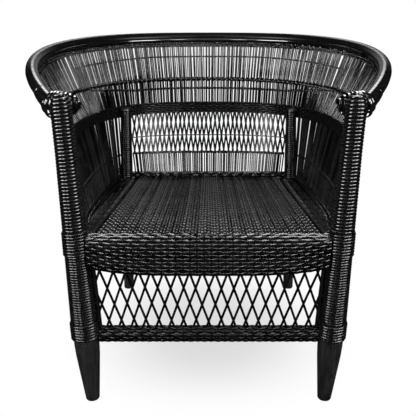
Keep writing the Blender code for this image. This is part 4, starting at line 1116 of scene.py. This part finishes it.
class CANE_OT_back_panel(Operator):
    """Weave the back between the rear legs"""
    bl_idname = "cane_chair.back_panel"
    bl_label = "Back panel"

    CROSSING_Z = 0.472          # height at which the lattice canes cross on their spacing
    LEAN = 0.176
    LAYER = 0.0014              # from the middle of the lattice to each of its two layers
    JITTER = 0.0008
    ROW_STRAND, ROW_TWIST = 0.0046, 0.022
    THIN_STRAND, THIN_TWIST = 0.0020, 0.012
    SPINDLES, SPINDLE_GAUGE, SPINDLE_STRAY = 88, 0.0043, 0.003
    SEED = 23
    APRON_HALF = 0.236
    APRON_ROWS = 10
    APRON_TOP, APRON_IN = 0.0035, 0.003

    def execute(self, context):
        weave = context.scene.cane_chair.weave
        chance = random.Random(5)
        lines = []
        for way in (1.0, -1.0):
            for number in range(-22, 23):
                points = []
                jitter = chance.uniform(-self.JITTER, self.JITTER)
                for z in np.linspace(BACK_ROW_Z, BACK_TOP_Z + 0.004, 9):
                    x = weave.back_cell * number + way * self.LEAN * (z - self.CROSSING_Z) + jitter
                    across = x / back_half(z)
                    if abs(across) < 1.0:
                        points.append(back_point(across, z) - ALONG_Y * (way * self.LAYER))
                if len(points) > 2:
                    lines.append(points)
        sweep("back_lattice_canes", lines, weave.lattice_gauge, "cane", ("back_lattice",), points=9, sides=6)
        twine("back_row_pair", [back_line(BACK_ROW_Z, 61)], self.ROW_STRAND, self.ROW_TWIST, "weave",
              ("back_row",), per_twist=10, sides=6, slot="painted_cane")
        twine("back_thin_row", [back_line(self.CROSSING_Z + 0.002, 61)], self.THIN_STRAND, self.THIN_TWIST,
              "cane")
        foot, head = back_line(BACK_LOW_Z - 0.006, 81), back_line(BACK_ROW_Z, 81)
        stand("back_spindle_canes", (foot, head, head), 1.0, self.SPINDLES, self.SPINDLE_GAUGE,
              self.SPINDLE_STRAY, "cane", ("back_spindles",), 4, ROW_INSET, 1.0 - ROW_INSET, self.SEED)
        across = spaced(-self.APRON_HALF, self.APRON_HALF, 41)
        rows = []
        for i in range(self.APRON_ROWS):
            z = BACK_LOW_Z - self.APRON_TOP - i * weave.row_pitch
            rows.append([Vector((x, BACK_APRON_Y, z)) for x in across])
        woven_sheet(("rear_apron_rows", "rear_apron_cores"), rows, weave, ALONG_Y * self.APRON_IN,
                    "rear_apron")
        return {"FINISHED"}


class CANE_OT_seat(Operator):
    """Weave the seat and lay its flat borders"""
    bl_idname = "cane_chair.seat"
    bl_label = "Seat"

    ROW_JITTER = 0.0004
    ROW_SWAY = 0.0006
    CORE_GAUGE = 0.0095
    CORE_BELOW = 0.0025
    BORDER_CORES = (0.10, 0.30, 0.50, 0.70, 0.90)
    PAD_START, PAD_TURN, PAD_STOP = FRONT_Y + 0.004, FRONT_Y + 0.30, FRONT_Y + 0.508
    PAD_COLUMNS, PAD_STEPS = 14, 10
    PAD_GROOVE = 0.0011
    PAD_EDGE, PAD_BASE = 0.0030, 0.0060

    def execute(self, context):
        weave = context.scene.cane_chair.weave
        chance = random.Random(8)
        depths = spaced(FRONT_Y - 0.004, BACK_APRON_Y - 0.0040, 24)
        halves = {"left": [], "right": []}
        middle = (weave.seat_rows + 1) // 2
        for number in range(1, weave.seat_rows + 1):
            across = (number - middle) / middle
            low = 0.0 if number % 2 else weave.seat_ridge
            lift = chance.uniform(-self.ROW_JITTER, self.ROW_JITTER) - low
            lift -= weave.seat_strand * 0.5 + weave.seat_depth
            row = []
            for y in depths:
                sway = self.ROW_SWAY * math.sin(9.0 * y + number * 1.7)
                row.append(Vector((across * seat_half(y) + sway, y, seat_z(y) + lift)))
            halves["left" if number <= middle else "right"].append(row)
        for name, rows in halves.items():
            weave_rows(f"seat_rows_{name}", rows, (weave.seat_width, weave.seat_strand, 6), weave.seat_wave,
                       weave.seat_depth, "seat", ("seat_weave",), level=True, per_wave=6)
        cores = shifted(halves["left"] + halves["right"], UP * -self.CORE_BELOW)
        for name, side in SIDES:
            for share in self.BORDER_CORES:
                row = []
                for y in np.linspace(FRONT_Y + 0.030, BACK_APRON_Y - 0.006, 12):
                    edge = FOOT_LINE.plan(FOOT_LINE.share_at_y(y))[0]
                    x = side * mix(seat_half(y) + 0.002, -edge, share)
                    row.append(Vector((x, y, seat_z(y) - self.CORE_GAUGE)))
                cores.append(row)
        sweep("seat_cores", cores, self.CORE_GAUGE, "weave", sides=6)
        for name, side in SIDES:
            self.pad(f"seat_pad_{name}", side, weave, f"seat_border_{name}")
        return {"FINISHED"}

    def pad(self, name, side, weave, node):
        """A long flat pad of crosswise strips with a rounded rear end."""
        columns = self.PAD_COLUMNS
        number = weave.pad_strips * self.PAD_STEPS
        mesh = bmesh.new()
        tops, bases = [], []
        for i, y in enumerate(spaced(self.PAD_START, self.PAD_STOP, number + 1)):
            back = max(0.0, (y - self.PAD_TURN) / (self.PAD_STOP - self.PAD_TURN))
            width = weave.pad_width * math.sqrt(max(0.02, 1.0 - back ** 2.5))
            within = (i % self.PAD_STEPS) / self.PAD_STEPS
            groove = self.PAD_GROOVE * abs(2.0 * within - 1.0) ** 6
            top, base = [], []
            for share in spaced(0.0, 1.0, columns + 1):
                x = side * (seat_half(y) + 0.0015 + width * share)
                crown = weave.pad_crown * (1.0 - abs(2.0 * share - 1.0) ** 2.6)
                top.append(mesh.verts.new((x, y, seat_z(y) - self.PAD_EDGE + crown - groove)))
                base.append(mesh.verts.new((x, y, seat_z(y) - self.PAD_BASE)))
            tops.append(top)
            bases.append(base)
        for i in range(number):
            for j in range(columns):
                mesh.faces.new((tops[i][j], tops[i][j + 1], tops[i + 1][j + 1], tops[i + 1][j]))
                mesh.faces.new((bases[i][j], bases[i + 1][j], bases[i + 1][j + 1], bases[i][j + 1]))
            for j in (0, columns):
                mesh.faces.new((tops[i][j], tops[i + 1][j], bases[i + 1][j], bases[i][j]))
        for i in (0, number):
            for j in range(columns):
                mesh.faces.new((tops[i][j], tops[i][j + 1], bases[i][j + 1], bases[i][j]))
        mesh_piece(name, mesh, "pad", (node,))


class CANE_OT_aprons(Operator):
    """Weave the front apron over the front rail, and the side aprons"""
    bl_idname = "cane_chair.aprons"
    bl_label = "Aprons"

    ROLL = 0.0199               # radius at which the front apron rolls over the front rail
    FRONT_ROWS, SIDE_ROWS = 12, 10
    FRONT_LOW, FRONT_ARCH = 0.3055, 0.0175
    FRONT_IN = Vector((0.0, 0.0032, -0.0018))
    SIDE_HALF = 0.2286
    SIDE_LOW = 0.308
    SIDE_IN = 0.003
    SIDE_TOP = 0.0115           # from the seat's height down to the top row of a side apron

    def execute(self, context):
        weave = context.scene.cane_chair.weave
        arc = self.ROLL * math.pi / 2.0
        rows = []
        for i in range(self.FRONT_ROWS):
            down = (i + 0.35) / self.FRONT_ROWS
            row = []
            for side in spaced(-1.0, 1.0, 49):
                low = self.FRONT_LOW + self.FRONT_ARCH * side ** 4
                travel = down * (arc + RAIL_Z - low)
                turn = min(travel, arc) / self.ROLL
                z = RAIL_Z + self.ROLL * math.cos(turn) - max(0.0, travel - arc)
                row.append(Vector((side * between_posts(z, 0.001), FRONT_Y - self.ROLL * math.sin(turn), z)))
            rows.append(row)
        woven_sheet(("front_apron_rows", "front_apron_cores"), rows, weave, self.FRONT_IN, "front_apron",
                    fill=1.05, points=25, per_wave=12, sides=8)
        depths = spaced(FRONT_Y + 0.027, REAR_Y - 0.020, 31)
        for name, side in SIDES:
            rows = []
            for up in spaced(0.0, 1.0, self.SIDE_ROWS):
                heights = [mix(self.SIDE_LOW, seat_z(y) - self.SIDE_TOP, up) for y in depths]
                rows.append([Vector((side * self.SIDE_HALF, y, z)) for y, z in zip(depths, heights)])
            woven_sheet((f"side_apron_rows_{name}", f"side_apron_cores_{name}"), rows, weave,
                        ALONG_X * (-side * self.SIDE_IN), f"side_apron_{name}", fill=1.08)
        return {"FINISHED"}


class CANE_OT_front_panel(Operator):
    """Cross the front lattice canes and weave the lower band"""
    bl_idname = "cane_chair.front_panel"
    bl_label = "Front panel"

    LOW, HIGH = 0.172, 0.345
    CROSSING_Z = 0.2697         # height at which the lattice canes cross on their spacing
    LEAN = 0.356
    LAYER = 0.0015              # from the middle of the lattice to each of its two layers
    SLIP, TILT = 0.0012, 0.010  # how far a cane strays sideways, and in its lean
    LATTICE_GAP, TUCK = 0.0105, 0.005       # from a post to the lattice, and how far its canes tuck in
    EDGE_GAP = 0.0065
    EDGE_GAUGE = 0.0082
    BAND_STRIPS, BAND_WIDTH, BAND_RADIUS = 12, 0.0076, 0.0140
    STRETCHER = 0.0230

    def execute(self, context):
        weave = context.scene.cane_chair.weave
        chance = random.Random(4)
        lines = []
        for way in (1.0, -1.0):
            for number in range(-11, 12):
                slip = chance.uniform(-self.SLIP, self.SLIP)
                lean = self.LEAN + chance.uniform(-self.TILT, self.TILT)
                points = []
                for z in np.linspace(self.LOW, self.HIGH, 24):
                    x = weave.front_cell * number + way * lean * (z - self.CROSSING_Z) + slip
                    if abs(x) < between_posts(z, self.LATTICE_GAP - self.TUCK):
                        points.append(Vector((x, FRONT_Y - way * self.LAYER, z)))
                if len(points) > 3:
                    lines.append(points)
        sweep("front_lattice_canes", lines, weave.lattice_gauge, "cane", ("front_lattice",), points=8,
              sides=7)
        edges = []
        for name, side in SIDES:
            edges.append([Vector((side * between_posts(z, self.EDGE_GAP), FRONT_Y, z))
                          for z in (self.LOW, 0.25, 0.31, self.HIGH)])
        sweep("lattice_edge_canes", edges, self.EDGE_GAUGE, "cane", both("lattice_edge_cane"), sides=12,
              reference=ALONG_Y)
        half = between_posts(STRETCHER_Z, 0.002)
        rows = []
        for i in range(self.BAND_STRIPS):
            angle = 2.0 * math.pi * (i + 0.5) / self.BAND_STRIPS
            y = FRONT_Y + self.BAND_RADIUS * math.cos(angle)
            z = STRETCHER_Z + self.BAND_RADIUS * math.sin(angle)
            rows.append([Vector((x, y, z)) for x in spaced(-half, half, 41)])
        weave_rows("lower_band_rows", rows, (self.BAND_WIDTH, weave.strip, 6), weave.wave, weave.wave_depth,
                   "band", ("front_lower_band",), per_wave=10)
        pole = [Vector((side * (half + 0.012), FRONT_Y, STRETCHER_Z)) for name, side in SIDES]
        sweep("stretcher_pole", [pole], self.STRETCHER, "pole", ("front_stretcher",), points=2, sides=24)
        return {"FINISHED"}


class CANE_OT_stage(Operator):
    """Set the pale floor, the soft lamps and the camera"""
    bl_idname = "cane_chair.stage"
    bl_label = "Stage"

    PHOTO_PIXELS = 416.0        # width of the photo
    SENSOR = 36.0
    FLOOR_RADIUS = 6.0
    SHADE_FROM, SHADE_TO = 0.12, 0.43       # the floor turns white between these distances
    BRIGHT_FROM, BRIGHT_TO = 0.80, 0.97     # how far behind a reflection looks to see the bright room
    BRIGHT_UP = 0.32                        # how far up it looks
    BRIGHT_NEAR, BRIGHT_FAR = 0.08, 0.22    # the bright room fades between these distances above and below

    def execute(self, context):
        settings = context.scene.cane_chair.stage
        context.scene.view_settings.view_transform = "Standard"
        self.floor(settings)
        self.surroundings(context, settings)
        for name, side in SIDES:
            self.lamp(f"card_{name}", (side * 1.75, -0.85, 1.35), (side * 0.10, 0.0, 0.45), (0.95, 1.0),
                      settings.side_card)
            self.lamp(f"card_front_{name}", (side * 0.80, -1.25, 1.20), (side * 0.27, 0.0, 0.45),
                      (0.40, 1.0), settings.front_card, spread=30.0)
            self.lamp(f"card_back_{name}", (side * 0.50, 1.03, 1.76), (side * 0.34, 0.12, 0.70),
                      (0.60, 0.85), settings.back_card, spread=36.0)
        self.lamp("card_top", (0.0, -0.45, 2.30), (0.0, 0.15, 0.40), (1.9, 0.45), settings.top_card)
        self.lamp("lamp_top", (0.0, 0.10, 2.40), (0.0, 0.20, 0.40), (1.8, 1.6), settings.top_lamp, True)
        camera = bpy.data.objects.new("camera", bpy.data.cameras.new("camera"))
        camera.data.lens = settings.lens
        camera.data.sensor_width = self.SENSOR
        camera.data.shift_x = -0.5 / self.PHOTO_PIXELS
        camera.location = (0.0, FRONT_Y - settings.distance, settings.height)
        camera.rotation_euler = (math.radians(90.0 - settings.pitch), 0.0, 0.0)
        context.scene.collection.objects.link(camera)
        context.scene.camera = camera
        return {"FINISHED"}

    def floor(self, settings):
        """A pale disc that keeps the chair's shadow and fades to the white room."""
        mesh = bmesh.new()
        bmesh.ops.create_circle(mesh, cap_ends=True, segments=96, radius=self.FLOOR_RADIUS)
        data = bpy.data.meshes.new("floor")
        mesh.to_mesh(data)
        mesh.free()
        shader = Shader(bpy.data.materials.new("pale_floor"))
        surface = shader.nodes["Principled BSDF"]
        spot = shader.add("ShaderNodeTexCoord").outputs["Object"]
        away = shader.add("ShaderNodeVectorMath", {0: spot}, operation="LENGTH").outputs["Value"]
        lifted = shader.span(away, self.SHADE_FROM, self.SHADE_TO, settings.floor_lift, 1.0, smooth=True)
        path = shader.add("ShaderNodeLightPath").outputs
        mirrored = shader.mirrored(path)
        share = shader.maths("MAXIMUM", shader.maths("MULTIPLY", lifted, path["Is Camera Ray"]), mirrored)
        glow = shader.span(mirrored, 0.0, 1.0, 1.0, settings.floor_reflection)
        white = shader.add("ShaderNodeEmission", {"Color": (1.0, 1.0, 1.0, 1.0), "Strength": glow})
        tone = tuple(settings.floor_tone)
        paler = tuple(min(1.0, part + 0.01) for part in tone)
        shader.set(surface, "Base Color", shader.ramp(shader.noise(spot, 3.0, 2.0), 0.3, 0.7, tone, paler))
        shader.set(surface, "Roughness", 0.9)
        shader.set(surface, "Specular IOR Level", 0.0)
        blend = shader.add("ShaderNodeMixShader", {0: share, 1: surface.outputs[0], 2: white.outputs[0]})
        shader.set(shader.nodes["Material Output"], "Surface", blend.outputs[0])
        data.materials.append(shader.owner)
        floor = bpy.data.objects.new("floor", data)
        bpy.context.scene.collection.objects.link(floor)

    def surroundings(self, context, settings):
        """A white room; the paint reflects a dark one with a bright patch high up behind the chair."""
        world = bpy.data.worlds.new("white_room")
        shader = Shader(world)
        world.cycles.sampling_method = "NONE"
        background = shader.nodes["Background"]
        shader.set(background, "Color", (1.0, 1.0, 1.0, 1.0))
        path = shader.add("ShaderNodeLightPath").outputs
        toward = shader.add("ShaderNodeTexCoord").outputs["Generated"]
        way = shader.add("ShaderNodeSeparateXYZ", {0: toward}).outputs
        room = shader.span(way["Y"], self.BRIGHT_FROM, self.BRIGHT_TO, settings.front_reflection,
                           settings.back_reflection, smooth=True)
        away = shader.maths("ABSOLUTE", shader.maths("SUBTRACT", way["Z"], self.BRIGHT_UP))
        band = shader.span(away, self.BRIGHT_NEAR, self.BRIGHT_FAR, 1.0, 0.02, smooth=True)
        reflected = shader.maths("MULTIPLY", room, band)
        lit = shader.mixed(shader.mirrored(path), settings.ambient, reflected)
        shader.set(background, "Strength", shader.mixed(path["Is Camera Ray"], lit, 1.0))
        context.scene.world = world

    @staticmethod
    def lamp(name, place, target, size, power, lights_all=False, spread=180.0):
        """A soft rectangular lamp, or a card that only shines in the paint, placed from the front feet."""
        place, target = (Vector((x, FRONT_Y + y, z)) for x, y, z in (place, target))
        light = bpy.data.lights.new(name, "AREA")
        light.shape = "RECTANGLE"
        light.size, light.size_y = size
        light.energy = power
        light.spread = math.radians(spread)
        lamp = bpy.data.objects.new(name, light)
        lamp.location = place
        if lights_all:
            lamp.visible_glossy = False
        else:
            lamp.visible_diffuse = False
        lamp.rotation_euler = (target - place).to_track_quat("-Z", "Y").to_euler()
        bpy.context.scene.collection.objects.link(lamp)


OPERATORS = (CANE_OT_poles, CANE_OT_post_windings, CANE_OT_top_rail, CANE_OT_wall_canes, CANE_OT_wall_rows,
             CANE_OT_back_panel, CANE_OT_seat, CANE_OT_aprons, CANE_OT_front_panel, CANE_OT_stage)


class CANE_PT_chair(Panel):
    """Buttons and sizes of the cane chair"""
    bl_idname = "CANE_PT_chair"
    bl_label = "Cane chair"
    bl_space_type = "VIEW_3D"
    bl_region_type = "UI"
    bl_category = "Cane chair"

    def draw(self, context):
        for operator in OPERATORS:
            self.layout.operator(operator.bl_idname)
        settings = context.scene.cane_chair
        for title in ("poles", "windings", "wall", "weave", "paint", "stage"):
            group = getattr(settings, title)
            box = self.layout.box()
            box.label(text=title.capitalize())
            for name in group.__annotations__:
                box.prop(group, name, text=name.replace("_", " ").capitalize())


CLASSES = (PoleSizes, WindingSizes, WallSizes, WeaveSizes, PaintColours, StageSettings, ChairSettings,
           *OPERATORS, CANE_PT_chair)


def register():
    for item in CLASSES:
        bpy.utils.register_class(item)
    bpy.types.Scene.cane_chair = PointerProperty(type=ChairSettings)


def unregister():
    del bpy.types.Scene.cane_chair
    for item in reversed(CLASSES):
        bpy.utils.unregister_class(item)


def main():
    register()
    bpy.ops.cane_chair.poles()
    bpy.ops.cane_chair.post_windings()
    bpy.ops.cane_chair.top_rail()
    bpy.ops.cane_chair.wall_canes()
    bpy.ops.cane_chair.wall_rows()
    bpy.ops.cane_chair.back_panel()
    bpy.ops.cane_chair.seat()
    bpy.ops.cane_chair.aprons()
    bpy.ops.cane_chair.front_panel()
    bpy.ops.cane_chair.stage()


if __name__ == "__main__":
    main()
